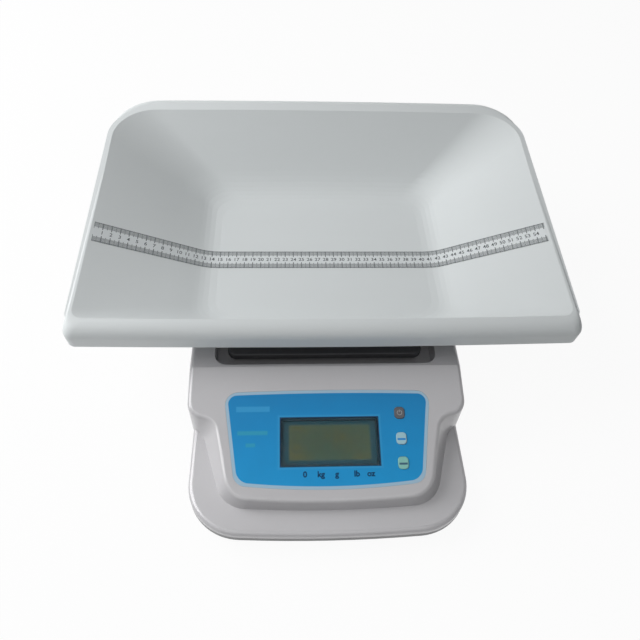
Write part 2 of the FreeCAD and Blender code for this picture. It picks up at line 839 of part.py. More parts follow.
bottom = size("base_clearance")
inside_bottom = bottom + "wall_housing"
pan = plate("pan", base_outline(0), size("seam_height") - bottom, (), bottom)
dress(pan, "pan_edge", "Fillet", lambda m, *ends: abs(m.z - bottom.value) < 0.01,
      "pan_edge")
rim_inset = size("wall_housing") + "seam_fit"
rim = plate("pan_rim", base_outline(rim_inset), "pan_rim_tall", (), inside_bottom)
room = plate("pan_room", base_outline(rim_inset + "pan_rim_thick"), 2 * size("pan_rim_tall"), (),
             inside_bottom)
FEET = [("foot_x", "foot_front_y"), ("foot_back_x", "foot_back_y")]
PLATE_SCREWS = [("plate_screw_x", "plate_screw_front"), ("plate_screw_x", "plate_screw_back")]
plate_low = size("plate_low")
lower_parts = [without("pan_shell", joined("pan_solid", [pan, rim]), [room])]
lower_parts += posts("foot_boss", FEET, "foot_boss", bottom, "insert_tall")
lower_parts += posts("lower_post", HOUSING_SCREWS, size("post_radius") + 0.5, bottom,
                     size("skirt_bottom") - bottom - 0.1)
lower_parts += posts("plate_post", PLATE_SCREWS, "plate_post", bottom, plate_low - bottom)
bay_long, bay_deep, bay_wall = size("battery_room_long"), size("battery_room_deep"), "battery_wall"
bay_tall = 20
lower_parts += [
    block("plinth", 0, "cell_fixed_y", bottom, "plinth_wide", "plinth_long", plate_low - bottom),
    block("battery_floor", 0, "battery_y", bottom, size("door_long") + 12,
          size("door_deep") + 16, "battery_floor_tall"),
    block("battery_walls", 0, "battery_y", bottom, bay_long + 2 * size(bay_wall),
          bay_deep + 2 * size(bay_wall), bay_tall),
]
rib_long = 2 * size("base_half") - 30
for i, y in enumerate((size("recess_front") - 5, size("recess_back") - 33)):
    lower_parts.append(block("pan_rib_%d" % i, 0, y, inside_bottom - 0.5, rib_long, 2, 5))
over_pan = 20
lower_tools = posts("insert_bore", FEET, "insert_radius", bottom - 1, over_pan)
lower_tools += posts("screw_counterbore", HOUSING_SCREWS, size("screw_head") + 0.3, bottom - 1,
                     size("screw_seat") + 1)
lower_tools += posts("screw_clearance", HOUSING_SCREWS, size("screw_radius") + "part_fit", bottom,
                     over_pan)
lower_tools += posts("plate_bore", PLATE_SCREWS, "screw_radius", inside_bottom, over_pan)
door_play = size("door_play")
lower_tools += [
    block("plinth_room", 0, "cell_fixed_y", inside_bottom, "cell_wide",
          size("plinth_long") - 2 * size("plinth_wall"), over_pan),
    block("battery_room", 0, "battery_y", bottom + "door_seat", bay_long, bay_deep, 2 * over_pan),
    block("battery_mouth", 0, "battery_y", bottom - 1, bay_long, bay_deep, over_pan),
    block("door_seat_cut", 0, size("battery_y") - size("door_travel") / 2 - door_play / 2,
          bottom - 1, size("door_long") + 2 * door_play,
          size("door_deep") + "door_travel" + door_play, size("door_seat") + 1),
    block("door_tongue_cut", 0, size("battery_y") + size("door_deep") / 2 + 1, bottom + 0.9,
          size("tongue_wide") + 4, size("tongue_deep") + 2, size("tongue_tall") + 0.3),
]
lower = without("lower_housing", joined("lower_solid", lower_parts), lower_tools)


def ringed(label, items):
    """One node that holds several equal pieces."""
    item = doc.addObject("Part::Compound", label)
    item.Links = items
    return item


# ------------------------------------------------------------------ load cell

cell_mid = size("cell_low") + size("cell_tall") / 2
cell_top = size("cell_low") + "cell_tall"
cell = new_body("load_cell")
bar = new_sketch(cell, "cell_bar_outline", lift="cell_low")
add_rectangle(bar, 0, "cell_y", "cell_wide", "cell_long", 1)
pad(cell, "cell_bar", bar, "cell_tall")
eyes = new_sketch(cell, "cell_eyes", "YZ_Plane")
for side in (-1, 1):
    add_circle(eyes, size("cell_y") + size("eye_off") * side, cell_mid, "eye_radius")
eye_cut = pad(cell, "cell_eye_cut", eyes, 2 * size("cell_wide"), "Pocket")
eye_cut.SideType = "Symmetric"
web = new_sketch(cell, "cell_web", "YZ_Plane")
add_rectangle(web, "cell_y", cell_mid, 2 * size("eye_off"), "eye_slot", 1)
web_cut = pad(cell, "cell_web_cut", web, 2 * size("cell_wide"), "Pocket")
web_cut.SideType = "Symmetric"
BOLTS_FIXED = [(0, size("cell_fixed_y") + "bolt_off"), (0, size("cell_fixed_y") - "bolt_off")]
BOLTS_FREE = [(0, size("cell_free_y") + "bolt_off"), (0, size("cell_free_y") - "bolt_off")]
taps = new_sketch(cell, "cell_taps", lift=cell_top)
for x, y in BOLTS_FIXED + BOLTS_FREE:
    add_circle(taps, x, y, "cell_bolt")
pad(cell, "cell_tap_holes", taps, "cell_tall", "Pocket")
potting_tall = size("potting_tall")
potting = block("cell_potting", size("cell_wide") / 2 + size("potting_thick") / 2, "cell_y",
                cell_mid - potting_tall / 2, "potting_thick", "potting_long", potting_tall)

plate_top = plate_low + "plate_thick"
mounting = plate("mounting_plate", lambda s: add_rectangle(
    s, 0, "plate_mid_y", size("plate_screw_x") * 2 + 20,
    size("plate_screw_back") - "plate_screw_front" + 24, 8),
                 "plate_thick", (
    lambda s: [add_circle(s, x, y, size("cell_bolt") + "bolt_fit") for x, y in BOLTS_FIXED],
    lambda s: [add_circle(s, x, y, size("screw_radius") + "bolt_fit")
               for x, y in both_sides(PLATE_SCREWS)],
    lambda s: [add_circle(s, x, y, "stop_radius") for x, y in both_sides(STOPS)],
), plate_low)


def clamp_block(label, y, low, tall, bolts):
    return plate(label, lambda s: add_rectangle(s, 0, y, "cell_wide", "cell_end", 1), tall,
                 (lambda s: [add_circle(s, x, by, size("cell_bolt") + "bolt_fit")
                             for x, by in bolts],), low)


spacer_low = clamp_block("spacer_low", "cell_fixed_y", plate_top,
                         size("cell_low") - plate_top, BOLTS_FIXED)
spacer_high = clamp_block("spacer_high", "cell_free_y", cell_top,
                          size("support_low") - cell_top, BOLTS_FREE)


def cap_screw(label, x, y, seat, shank, up):
    """A socket-head screw: its head starts at seat, its shank reaches away from it."""
    head = rod(label + "_head", x, y, seat if not up else size(seat) - "bolt_head_tall",
               "bolt_head", "bolt_head_tall")
    stem = rod(label + "_shank", x, y, size(seat) - shank if not up else seat, "cell_bolt", shank)
    key = rod(label + "_socket", x, y, size(seat) + 1.5 if not up else size(seat) - 5,
              "bolt_key", 3.5)
    return without(label, joined(label + "_solid", [head, stem]), [key])


cell_screws = ringed("cell_screws", [
    cap_screw("cell_screw_%d" % i, x, y, "plate_low", 20, True)
    for i, (x, y) in enumerate(BOLTS_FIXED)])

# --------------------------------------------------------------- tray support

support_top = size("support_low") + "support_thick"
support_span = size("pad_back_y") - "pad_front_y"
support_mid = (size("pad_back_y") + "pad_front_y") / 2
support_gap = size("support_gap")
support_half = size("recess_half") - support_gap
support_front = size("recess_front") + "support_gap_front"
support_back = size("recess_back") - support_gap
support = new_body("tray_support")
slab = new_sketch(support, "support_outline", lift="support_low")
add_rectangle(slab, 0, (support_front + support_back) / 2, support_half * 2,
              support_back - support_front, "support_corner")
pad(support, "support_slab", slab, "support_thick")
dress(support, "support_edge", "Fillet",
      lambda m, *ends: abs(m.z - support_top.value) < 0.01, "support_edge")
bar_half = size("bar_deep") / 2
border = size("support_border")
spine_half = size("spine_half")
bays = new_sketch(support, "support_bays", lift="support_low")
bay_rows = [(support_front + border, size("pad_front_y") - bar_half),
            (size("pad_front_y") + bar_half, size("pad_back_y") - bar_half)]
for low_y, high_y in bay_rows:
    for way in (1, -1):
        add_rectangle(bays, way * (spine_half + support_half - border) / 2,
                      (low_y + high_y) / 2, support_half - border - spine_half,
                      high_y - low_y, size("support_corner") / 2)
pad(support, "support_bay_pockets", bays, size("support_thick") - "support_skin", "Pocket", True)
PADS = [("pad_x", "pad_front_y"), ("pad_x", "pad_back_y")]
post_sketch = new_sketch(support, "post_outline", lift=support_top)
for x, y in both_sides(PADS):
    add_circle(post_sketch, x, y, "pad_post")
pad(support, "pad_posts", post_sketch, size("floor_under") - "post_short" - support_top)
rib = new_sketch(support, "spine_rib_outline", lift=support_top)
rib_tall = size("spine_rib_tall")
rib_wide = 2 * size("spine_rib_half")
rib_deep = support_span - bar_half * 2 - 6
rib_wall = 2 * size("spine_rib_wall")
add_rectangle(rib, 0, support_mid, rib_wide, rib_deep, 6)
pad(support, "spine_rib", rib, rib_tall)
pocket = new_sketch(support, "spine_pocket_outline", lift=support_top + rib_tall)
add_rectangle(pocket, 0, support_mid, rib_wide - rib_wall, rib_deep - rib_wall, 4)
pad(support, "spine_pocket", pocket, rib_tall, "Pocket")
bolt_seat = new_sketch(support, "bolt_seats", lift=support_top)
for x, y in BOLTS_FREE:
    add_circle(bolt_seat, x, y, size("bolt_head") + 0.4)
pad(support, "bolt_seat_holes", bolt_seat, "bolt_head_tall", "Pocket")
bolt_hole = new_sketch(support, "bolt_holes", lift=support_top)
for x, y in BOLTS_FREE:
    add_circle(bolt_hole, x, y, size("cell_bolt") + "bolt_fit")
pad(support, "bolt_through", bolt_hole, "support_thick", "Pocket")
support_screws = ringed("support_screws", [
    cap_screw("support_screw_%d" % i, x, y, support_top - "bolt_head_tall", 28, False)
    for i, (x, y) in enumerate(BOLTS_FREE)])
caps = ringed("tray_caps", [
    without("tray_cap_%d" % i,
            rod("cap_body_%d" % i, x, y, size("floor_under") - "cap_tall", "pad_cap",
                "cap_tall"),
            [rod("cap_bore_%d" % i, x, y, size("floor_under") - "cap_tall" - 1, "pad_post",
                 "cap_bore")])
    for i, (x, y) in enumerate(both_sides(PADS))])
stop_top = size("support_low") - "stop_gap"
stops = ringed("stop_screws", [
    rod("stop_screw_%d" % i, x, y, plate_low, "stop_radius", stop_top - plate_low)
    for i, (x, y) in enumerate(both_sides(STOPS))])
stop_nuts = ringed("stop_nuts", [
    without("stop_nut_%d" % i, hexagon("stop_hex_%d" % i, x, y, plate_top, "nut_hex", "nut_tall"),
            [rod("stop_nut_bore_%d" % i, x, y, plate_top - 1, "stop_radius",
                 size("nut_tall") + 2)])
    for i, (x, y) in enumerate(both_sides(STOPS))])


def self_tapper(label, x, y, seat, shank, head_radius, head_tall):
    """A pan-head screw driven upwards: the underside of its head sits at seat."""
    head = rod(label + "_head", x, y, size(seat) - head_tall, head_radius, head_tall)
    stem = rod(label + "_shank", x, y, seat, "screw_radius", shank)
    cross = block(label + "_slot", x, y, size(seat) - head_tall - 1, 0.8,
                  2 * size(head_radius) - 1.6, 1.8)
    return without(label, joined(label + "_solid", [head, stem]), [cross])


housing_screws = ringed("housing_screws", [
    self_tapper("housing_screw_%d" % i, x, y, bottom + "screw_seat",
                size("skirt_bottom") - bottom + 2.4, "screw_head", "screw_head_tall")
    for i, (x, y) in enumerate(both_sides(HOUSING_SCREWS))])
plate_screws = ringed("plate_screws", [
    joined("plate_screw_%d" % i, [
        rod("plate_screw_head_%d" % i, x, y, plate_top, 2.8, 2),
        rod("plate_screw_shank_%d" % i, x, y, plate_top - 8, "screw_radius", 8.5)])
    for i, (x, y) in enumerate(both_sides(PLATE_SCREWS))])


# ------------------------------------------------------------------------- feet

foot_top = size("foot_tall")
FOOT_NAMES = ("front_right", "front_left", "back_right", "back_left")
nodes = {}
for name, (x, y) in zip(FOOT_NAMES, both_sides(FEET)):
    rubber = plate("foot_pad_" + name, lambda s: add_circle(s, x, y, "foot_radius"), foot_top)
    dress(rubber, "foot_edge_" + name, "Fillet", lambda m, *ends: abs(m.z) < 0.01,
          "foot_edge")
    seat = new_sketch(rubber, "foot_seat_" + name, lift=foot_top)
    add_circle(seat, x, y, "stud_radius")
    pad(rubber, "foot_seat_hole_" + name, seat, "foot_seat", "Pocket")
    nodes["foot_pad_" + name] = rubber
    nodes["foot_stud_" + name] = joined("foot_stud_" + name, [
        rod("stud_shank_" + name, x, y, foot_top - "foot_seat", "stud_radius", "stud_long"),
        hexagon("stud_hex_" + name, x, y, foot_top, "stud_hex", "stud_hex_tall")])
inserts = ringed("foot_inserts", [
    without("insert_%d" % i, rod("insert_body_%d" % i, x, y, bottom, "insert_radius", "insert_tall"),
            [rod("insert_hole_%d" % i, x, y, bottom - 1, size("stud_radius") + "stud_fit",
                 size("insert_tall") + 2)])
    for i, (x, y) in enumerate(both_sides(FEET))])

# ------------------------------------------------------- display, keys and board

sink = size("panel_sink")
overlay = slope_plate("panel_overlay", panel_outline(0), -sink, sink - "film_drop", (
    window_outline(0), key_outline("key_power_up", "key_gap"),
    key_outline("key_tare_up", "key_gap"), key_outline("key_unit_up", "key_gap")))
window_low = -sink - "window_thick"
lens = slope_plate("lcd_window", window_outline(size("bezel_lap") - "part_fit"), window_low,
                   "window_thick")
bezel = new_body("lcd_bezel")
frame = new_sketch(bezel, "bezel_frame", lift=window_low)
window_outline("bezel_lap")(frame)
bezel_low = -size("wall_housing") - "bezel_deep"
pad(bezel, "bezel_frame_pad", frame, window_low - bezel_low, "Pad", True)
flange = new_sketch(bezel, "bezel_flange", lift=-size("wall_housing"))
window_outline("bezel_flange")(flange)
pad(bezel, "bezel_flange_pad", flange, "bezel_deep", "Pad", True)
view = new_sketch(bezel, "bezel_view", lift=0)
window_outline(-size("bezel_wall"))(view)
pad(bezel, "bezel_view_pocket", view, 10, "Pocket")
on_slope(bezel)
glass = slope_plate("lcd_glass", window_outline(1), bezel_low - "glass_thick", "glass_thick")
light_low = bezel_low - "glass_thick" - "light_thick"
backlight = on_slope(plate("lcd_backlight", window_outline(2), "light_thick", (), light_low))
board_top = -size("board_depth")
legs = new_sketch(backlight, "backlight_legs", lift=light_low)
for side_x in (-1, 1):
    for side_y in (-1, 1):
        add_circle(legs, size("window_x") + side_x * (size("window_wide") / 2 - 3.5),
                   size("window_up") + side_y * (size("window_tall") / 2 - 3), 2)
pad(backlight, "backlight_leg_pads", legs, light_low - board_top, "Pad", True)

board_mid = (size("board_low") + "board_high") / 2
board_deep = size("board_high") - "board_low"
board = slope_plate("main_board", lambda s: add_rectangle(
    s, 0, board_mid, size("board_half") * 2, board_deep, "board_corner"),
    board_top - "board_thick", "board_thick",
    (lambda s: [add_circle(s, x, y, size("board_screw") + "bolt_fit")
                for x, y in both_sides(BOARD_SCREWS)],))
board_under = board_top - "board_thick"
board_screws = ringed("board_screws", [
    slope_rod("board_screw_head_%d" % i, x, y, board_under - "board_screw_tall",
              "board_screw_head", "board_screw_tall")
    for i, (x, y) in enumerate(both_sides(BOARD_SCREWS))] + [
    slope_rod("board_screw_shank_%d" % i, x, y, board_under, "board_screw",
              size("board_bore") - 0.4)
    for i, (x, y) in enumerate(both_sides(BOARD_SCREWS))])


def board_box(label, x, up, wide, deep, tall):
    return slope_plate(label, lambda s: add_rectangle(s, x, up, wide, deep, 0.3),
                       board_under - tall, tall)


plug_up = size("board_high") - 10
plug_x = size("plug_x")
plug_tall = size("plug_tall")
plugs = ringed("board_plugs", [
    board_box("plug_%d" % i, x, plug_up, "plug_wide", "plug_deep", plug_tall)
    for i, x in enumerate((-plug_x, 0, plug_x))])
parts = ringed("board_parts", [
    board_box("controller", -6, 62, 12, 12, 1.6),
    board_box("converter", 34, 62, 8, 10, 1.6),
    board_box("regulator", -52, 68, 7, 9, 2.3),
    board_box("crystal", -6, 44, 11, 4.5, 3.5),
    slope_rod("buzzer", 62, 48, board_under - 6, 6, 6),
    slope_rod("capacitor_0", -64, 90, board_under - 8, 3.2, 8),
    slope_rod("capacitor_1", -74, 90, board_under - 8, 3.2, 8)])

switches = []
key_top = size("key_proud")
key_low = -size("key_root")
plunger_top = size("plunger_low") - "plunger_tall"
for name, up in KEYS:
    key = new_body("key_" + name)
    cap = new_sketch(key, "key_cap_" + name, lift=key_low)
    key_outline(up, 0)(cap)
    pad(key, "key_cap_pad_" + name, cap, size("key_root") + key_top)
    dress(key, "key_round_" + name, "Fillet", lambda m, *ends: abs(m.z - key_top.value) < 0.01,
          "key_edge")
    rim_of_key = new_sketch(key, "key_flange_" + name, lift=key_low)
    key_outline(up, "key_flange")(rim_of_key)
    pad(key, "key_flange_pad_" + name, rim_of_key, "key_flange_thick", "Pad", True)
    stem = new_sketch(key, "key_stem_" + name, lift=-size("key_stem_low"))
    add_circle(stem, "key_x", up, "key_stem")
    pad(key, "key_stem_pad_" + name, stem, plunger_top - "key_stem_low", "Pad", True)
    nodes["key_" + name] = on_slope(key)
    nodes["plunger_" + name] = slope_rod("plunger_" + name, "key_x", up, -size("plunger_low"),
                                         "plunger_radius", "plunger_tall")
    switch = plate("switch_" + name, lambda s: add_rectangle(
        s, "key_x", up, "switch_wide", "switch_wide", 0.3), "switch_tall", (), board_top)
    well = new_sketch(switch, "switch_well_" + name, lift=board_top + "switch_tall")
    add_circle(well, "key_x", up, size("plunger_radius") + 0.05)
    pad(switch, "switch_well_hole_" + name, well, "plunger_tall", "Pocket")
    switches.append(on_slope(switch))
tact_switches = ringed("tact_switches", switches)

# --------------------------------------------------------- battery, socket, level

cell_axis = bottom + "door_seat" + 0.2 + "cell_radius"
batteries = []
for i, side_y in enumerate((-1, 1)):
    for j, side_x in enumerate((-1, 1)):
        start = side_x * size(0.7) if side_x > 0 else -size(0.7) - "cell_length"
        way = (1, 0, 0)
        y = size("battery_y") + side_y * (size("cell_radius") + 0.5)
        can = rod("can_%d%d" % (i, j), start, y, cell_axis, "cell_radius",
                  size("cell_length") - "nub_tall", way)
        nub = rod("nub_%d%d" % (i, j), start + "cell_length" - "nub_tall", y, cell_axis,
                  "nub_radius", "nub_tall", way)
        batteries.append(joined("battery_%d%d" % (i, j), [can, nub]))
battery_cells = ringed("battery_cells", batteries)
contact_x = size("cell_length") + 2.4
contact_tip = cell_axis + 13
contact_low = cell_axis - size("contact_tall") / 2
contact_wide = size("battery_room_deep") - 3
contact_left = joined("contact_left", [
    block("contact_left_plate", -contact_x, "battery_y", contact_low, "contact_thick",
          contact_wide, "contact_tall"),
    block("contact_left_tab", -contact_x, "battery_y", cell_axis, "contact_thick", 4,
          contact_tip - cell_axis)])
contact_right = block("contact_right", contact_x, "battery_y", contact_low, "contact_thick",
                      contact_wide, "contact_tall")
battery_contacts = ringed("battery_contacts", [contact_left, contact_right] + [
    rod("contact_spring_%d" % i, contact_x - 1.6, size("battery_y") + s * (size("cell_radius") + 0.5),
        cell_axis, 3, 1.3, (1, 0, 0)) for i, s in enumerate((-1, 1))])
door = joined("battery_door", [
    block("door_leaf", 0, "battery_y", bottom + 0.1, "door_long", "door_deep", "door_thick"),
    block("door_tongue", 0, size("battery_y") + size("door_deep") / 2 + 1, bottom + 1.05,
          "tongue_wide", "tongue_deep", "tongue_tall")])
door_ribs = [block("door_rib_%d" % i, 0, size("battery_y") - 13 + 3 * i, bottom - 0.5, 26, 1.2, 1)
             for i in range(3)]
door = joined("battery_door_ribbed", [door] + door_ribs)
door.Label = "battery_door"

jack_bottom = size("jack_low") + size("socket_play") / 2
jack_z = jack_bottom + size("jack_tall") / 2
jack_deep = size("jack_deep")
jack_y = size("base_back") + "socket_play" - jack_deep
jack_body = block("jack_body", "jack_x", jack_y + jack_deep / 2, jack_bottom, "jack_wide",
                  jack_deep, "jack_tall")
jack = joined("dc_inlet", [
    without("jack_shell", jack_body, [rod("jack_bore", "jack_x", jack_y + 2, jack_z, "jack_bore",
                                          2 * jack_deep, (0, 1, 0))]),
    rod("jack_pin", "jack_x", jack_y + 1.5, jack_z, "jack_pin", jack_deep - 2.5, (0, 1, 0))])
vial = rod("level_vial", "level_x", "level_y", size("deck_height") + 0.8 - "level_tall",
           "level_radius", "level_tall")
level_ring = without("level_ring", rod("level_ring_body", "level_x", "level_y", "deck_height",
                                       size("level_radius") + "level_flange",
                                       "level_flange_tall"),
                     [rod("level_ring_hole", "level_x", "level_y", size("deck_height") - 1,
                          "level_radius", 4)])


# ---------------------------------------------------------------------- cables

into_board = App.Vector(0, -math.sin(math.radians(slope.value)), math.cos(math.radians(slope.value)))


def plug_end(x, far=0):
    """A point under the middle of a plug on the underside of the board, far below it."""
    up = plug_up.value
    out = (board_under - plug_tall).value - far
    foot = App.Vector(x, size("slope_front").value, size("slope_low").value)
    along = App.Vector(0, into_board.z, -into_board.y)
    return foot + along * up + into_board * out


def lead(label, radius, points):
    """A round lead along straight runs that tangent arcs join."""
    edges = []
    here = points[0]
    for before, corner, after in zip(points, points[1:], points[2:]):
        into = corner - before
        out = after - corner
        reach = 0.45 * min(into.Length, out.Length)
        half_turn = into.getAngle(out) / 2
        into.normalize()
        out.normalize()
        start = corner - into * reach
        end = corner + out * reach
        inward = (out - into).normalize()
        bend = reach / math.tan(half_turn)
        crown = corner + inward * (bend / math.cos(half_turn) - bend)
        edges += [Part.LineSegment(here, start), Part.Arc(start, crown, end)]
        here = end
    edges.append(Part.LineSegment(here, points[-1]))
    wire = Part.Wire([edge.toShape() for edge in edges])
    ring = Part.Wire(Part.Circle(points[0], points[1] - points[0], radius).toShape())
    item = doc.addObject("Part::Feature", label)
    item.Shape = wire.makePipeShell([ring], True, True)
    return item


def spot(x, y, z):
    return App.Vector(size(x).value, size(y).value, size(z).value)


lead_z = size("plate_low") + 11
cell_side = size("cell_wide") / 2
potting_face = cell_side + "potting_thick"
foot_lane = size("foot_x")
cell_lead = lead("load_cell_lead", 1.4, [
    spot(potting_face, "cell_y", cell_mid), spot(potting_face + 15, "cell_y", cell_mid),
    spot(cell_side + 19, size("cell_y") - 28, lead_z),
    spot(cell_side + 16, size("cell_y") - 82, lead_z),
    spot(cell_side + 5, "recess_front", lead_z - 1), plug_end(0, 20), plug_end(0)])
battery_lead = lead("battery_lead", 0.6, [
    spot(-contact_x, "battery_y", contact_tip), spot(-contact_x, "battery_y", contact_tip + 8),
    plug_end(-plug_x.value, 8), plug_end(-plug_x.value)])
dc_lead = lead("dc_lead", 1, [
    spot("jack_x", jack_y, jack_z), spot("jack_x", jack_y - 16, jack_z),
    spot("screw_x_back", "pad_back_y", lead_z), spot(foot_lane, "screw_y_rear", lead_z - 1),
    spot(foot_lane + 2, "cell_y", lead_z - 1), spot(foot_lane + 1, "pad_front_y", lead_z - 1),
    spot(foot_lane - 4, size("recess_front") + 23, lead_z - 1),
    spot(foot_lane - 18, size("recess_front") - 6, lead_z),
    spot(foot_lane - 44, size("recess_front") - 26, lead_z + 1),
    plug_end(plug_x.value, 15), plug_end(plug_x.value)])


# ------------------------------------------------------------------------- tray

tilt = size("rim_tilt")


def rim_sketch(body, label, depth, inset_front, inset_side, inset_back, round_front, round_back):
    """An outline parallel to the rim plane, depth below it, inset from the rim's edge."""
    sketch = new_sketch(body, label, lift=size("rim_height") - depth * cosine(tilt),
                        back=size("tray_front") + depth * sine(tilt), tilt=tilt)
    add_outline(sketch, size("rim_half") - inset_side, size("rim_half_back") - inset_side,
                size(inset_front), size("rim_depth") - inset_back, round_front, round_back,
                "rim_bow")
    return sketch


def rolled_cap(body, label, shrink, additive):
    """The lip: a flange that stands straight, then rolls over to the flat of the rim."""
    kind = "Additive" if additive else "Subtractive"
    shrink = size(shrink)
    foot = rim_sketch(body, label + "_flange", size("lip_drop"), shrink, shrink, shrink,
                      size("rim_round_front") - shrink, size("rim_round_back") - shrink)
    pad(body, label + "_wall", foot, size("lip_drop") - "lip_roll",
        "Pad" if additive else "Pocket", not additive)
    sections = []
    for index, angle in enumerate((0, 24, 46, 66, 90)):
        turn = math.radians(angle)
        fall = size("lip_roll") - shrink
        depth = shrink + fall * (1 - math.sin(turn))
        width = 1 - math.cos(turn)
        sections.append(rim_sketch(
            body, "%s_roll_%d" % (label, index), depth,
            shrink + (size("lip_front") - 4) * width,
            shrink + (size("lip_side") - 3) * width,
            shrink + (size("lip_roll") + 2) * width,
            size("rim_round_front") - shrink + 4 * width,
            size("rim_round_back") - shrink - 4 * width))
    return loft(body, label + "_roll", kind + "Loft", sections, False)


tray = new_body("tray")
rolled_cap(tray, "lip", 0, True)
rolled_cap(tray, "lip_hollow", "wall_tray", False)


def dish_sketch(body, label, share, grow=0):
    """One level of the dish: share 0 is the floor, 1 the mouth in the rim plane. Near the
    floor the sides follow a parabola, so the floor runs into the walls without a crease."""
    grow = size(grow)
    run_side = size("rim_half") - "lip_side" - "floor_half"
    run_front = size("floor_front") - "tray_front" - "lip_front"
    run_back = size("tray_depth") - "lip_back" - (size("floor_back") - "tray_front")
    rise = size("rim_height") - "floor_top"

    def spread(run, soft, ends):
        if share >= ends:
            return run * share
        along = math.sqrt(share / ends)
        return run * (ends * along * along) - size(soft) * (1 - along) ** 2

    side = spread(run_side, "fold_side", 0.096)
    front = spread(run_front, "fold_front", 0.28)
    back = spread(run_back, "fold_back", 0.22)
    grown = (side.value + size("fold_side").value) / (run_side + "fold_side").value
    slant_value = math.degrees(math.atan(share * math.tan(math.radians(tilt.value))))
    slant = Size(slant_value, "atan(%r * tan(sheet.rim_tilt))" % share)
    sketch = new_sketch(body, label, lift=size("floor_top") + rise * share - grow,
                        back="tray_front", tilt=slant)
    start = size("floor_front") - "tray_front"
    end = size("floor_back") - "tray_front"
    end_share = 1 / cosine(slant)
    add_outline(sketch, size("floor_half") + side + grow * 0.2,
                size("floor_half") + side * 0.96 + grow * 0.2,
                (start - front - grow * 0.6) * end_share, (end + back + grow * 0.4) * end_share,
                size("floor_round") + (size("mouth_round_front") - "floor_round") * grown,
                size("floor_round") + (size("rim_round_back") - 8 - "floor_round") * grown,
                "rim_bow")
    return sketch


OUTER_SHARES = (0, 0.03, 0.096, 0.22, 1.05)
INNER_SHARES = (0, 0.01, 0.03, 0.06, 0.096, 0.15, 0.22, 0.28, 1.01)
outside = [dish_sketch(tray, "dish_%d" % i, s, "wall_tray") for i, s in enumerate(OUTER_SHARES)]
inside = [dish_sketch(tray, "inside_%d" % i, s) for i, s in enumerate(INNER_SHARES)]
loft(tray, "dish", "AdditiveLoft", outside, True)
loft(tray, "inside", "SubtractiveLoft", inside, True)
ring = new_sketch(tray, "cap_ring_outline", lift="floor_under")
for x, y in both_sides(PADS):
    add_circle(ring, x, y, size("pad_cap") + "cap_ring")
    add_circle(ring, x, y, size("pad_cap") + 0.3)
pad(tray, "cap_rings", ring, "cap_ring_tall", "Pad", True)


def dish_room(label, grow):
    body = new_body(label)
    levels = [dish_sketch(body, "%s_%d" % (label, i), s, grow)
              for i, s in enumerate(INNER_SHARES)]
    loft(body, label + "_loft", "AdditiveLoft", levels, True)
    return body


band = block("tape_band", 0, "tape_y", 90, size("tape_half") * 2, "tape_wide", 100)
tape_under = doc.addObject("Part::Common", "tape_under")
tape_under.Base = band
tape_under.Tool = dish_room("dish_room", -size("tape_gap"))
tape = without("measuring_tape", tape_under, [
    dish_room("dish_room_tape", -size("tape_gap") - "tape_thick")])


# ------------------------------------------------------------------ hand over

nodes.update({
    "tray": tray,
    "measuring_tape": tape,
    "tray_caps": caps,
    "tray_support": support,
    "support_screws": support_screws,
    "spacer_high": spacer_high,
    "load_cell": cell,
    "cell_potting": potting,
    "spacer_low": spacer_low,
    "cell_screws": cell_screws,
    "mounting_plate": mounting,
    "plate_screws": plate_screws,
    "stop_screws": stops,
    "stop_nuts": stop_nuts,
    "lower_housing": lower,
    "upper_housing": upper,
    "housing_screws": housing_screws,
    "foot_inserts": inserts,
    "panel_overlay": overlay,
    "lcd_window": lens,
    "lcd_bezel": bezel,
    "lcd_glass": glass,
    "lcd_backlight": backlight,
    "main_board": board,
    "board_screws": board_screws,
    "board_plugs": plugs,
    "board_parts": parts,
    "tact_switches": tact_switches,
    "battery_cells": battery_cells,
    "battery_contacts": battery_contacts,
    "battery_door": door,
    "dc_inlet": jack,
    "level_vial": vial,
    "level_ring": level_ring,
    "load_cell_lead": cell_lead,
    "battery_lead": battery_lead,
    "dc_lead": dc_lead,
})

doc.recompute()
for item in doc.Objects:
    if "Invalid" in item.State or "Error" in item.State:
        raise SystemExit("the object %s did not compute: %s" % (item.Label, item.State))

os.makedirs("parts", exist_ok=True)
for name, item in sorted(nodes.items()):
    if item.Shape.isNull() or not item.Shape.isValid() or not item.Shape.Solids:
        raise SystemExit("the piece %s has no valid solid" % name)
    item.Shape.exportStep("parts/%s.step" % name)
print("wrote %d pieces" % len(nodes))
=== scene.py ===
import json
import math

import bpy
from mathutils import Matrix, Vector
from mathutils.bvhtree import BVHTree


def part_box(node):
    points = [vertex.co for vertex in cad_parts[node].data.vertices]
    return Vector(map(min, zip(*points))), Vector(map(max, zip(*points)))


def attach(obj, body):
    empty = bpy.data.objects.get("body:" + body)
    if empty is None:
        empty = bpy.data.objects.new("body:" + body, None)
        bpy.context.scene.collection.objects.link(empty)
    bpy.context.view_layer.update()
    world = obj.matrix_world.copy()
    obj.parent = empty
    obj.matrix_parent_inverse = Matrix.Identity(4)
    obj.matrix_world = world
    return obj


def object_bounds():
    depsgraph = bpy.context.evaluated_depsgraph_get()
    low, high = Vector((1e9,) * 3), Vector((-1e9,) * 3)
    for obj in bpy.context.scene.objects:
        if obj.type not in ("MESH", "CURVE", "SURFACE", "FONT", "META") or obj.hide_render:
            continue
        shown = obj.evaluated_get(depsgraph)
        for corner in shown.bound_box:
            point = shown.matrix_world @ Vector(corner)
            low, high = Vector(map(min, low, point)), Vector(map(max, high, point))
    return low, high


# A digital baby weighing scale: a deep white tray with a printed rule lies on a silver-grey
# base, whose sloped blue panel carries the display and three keys.

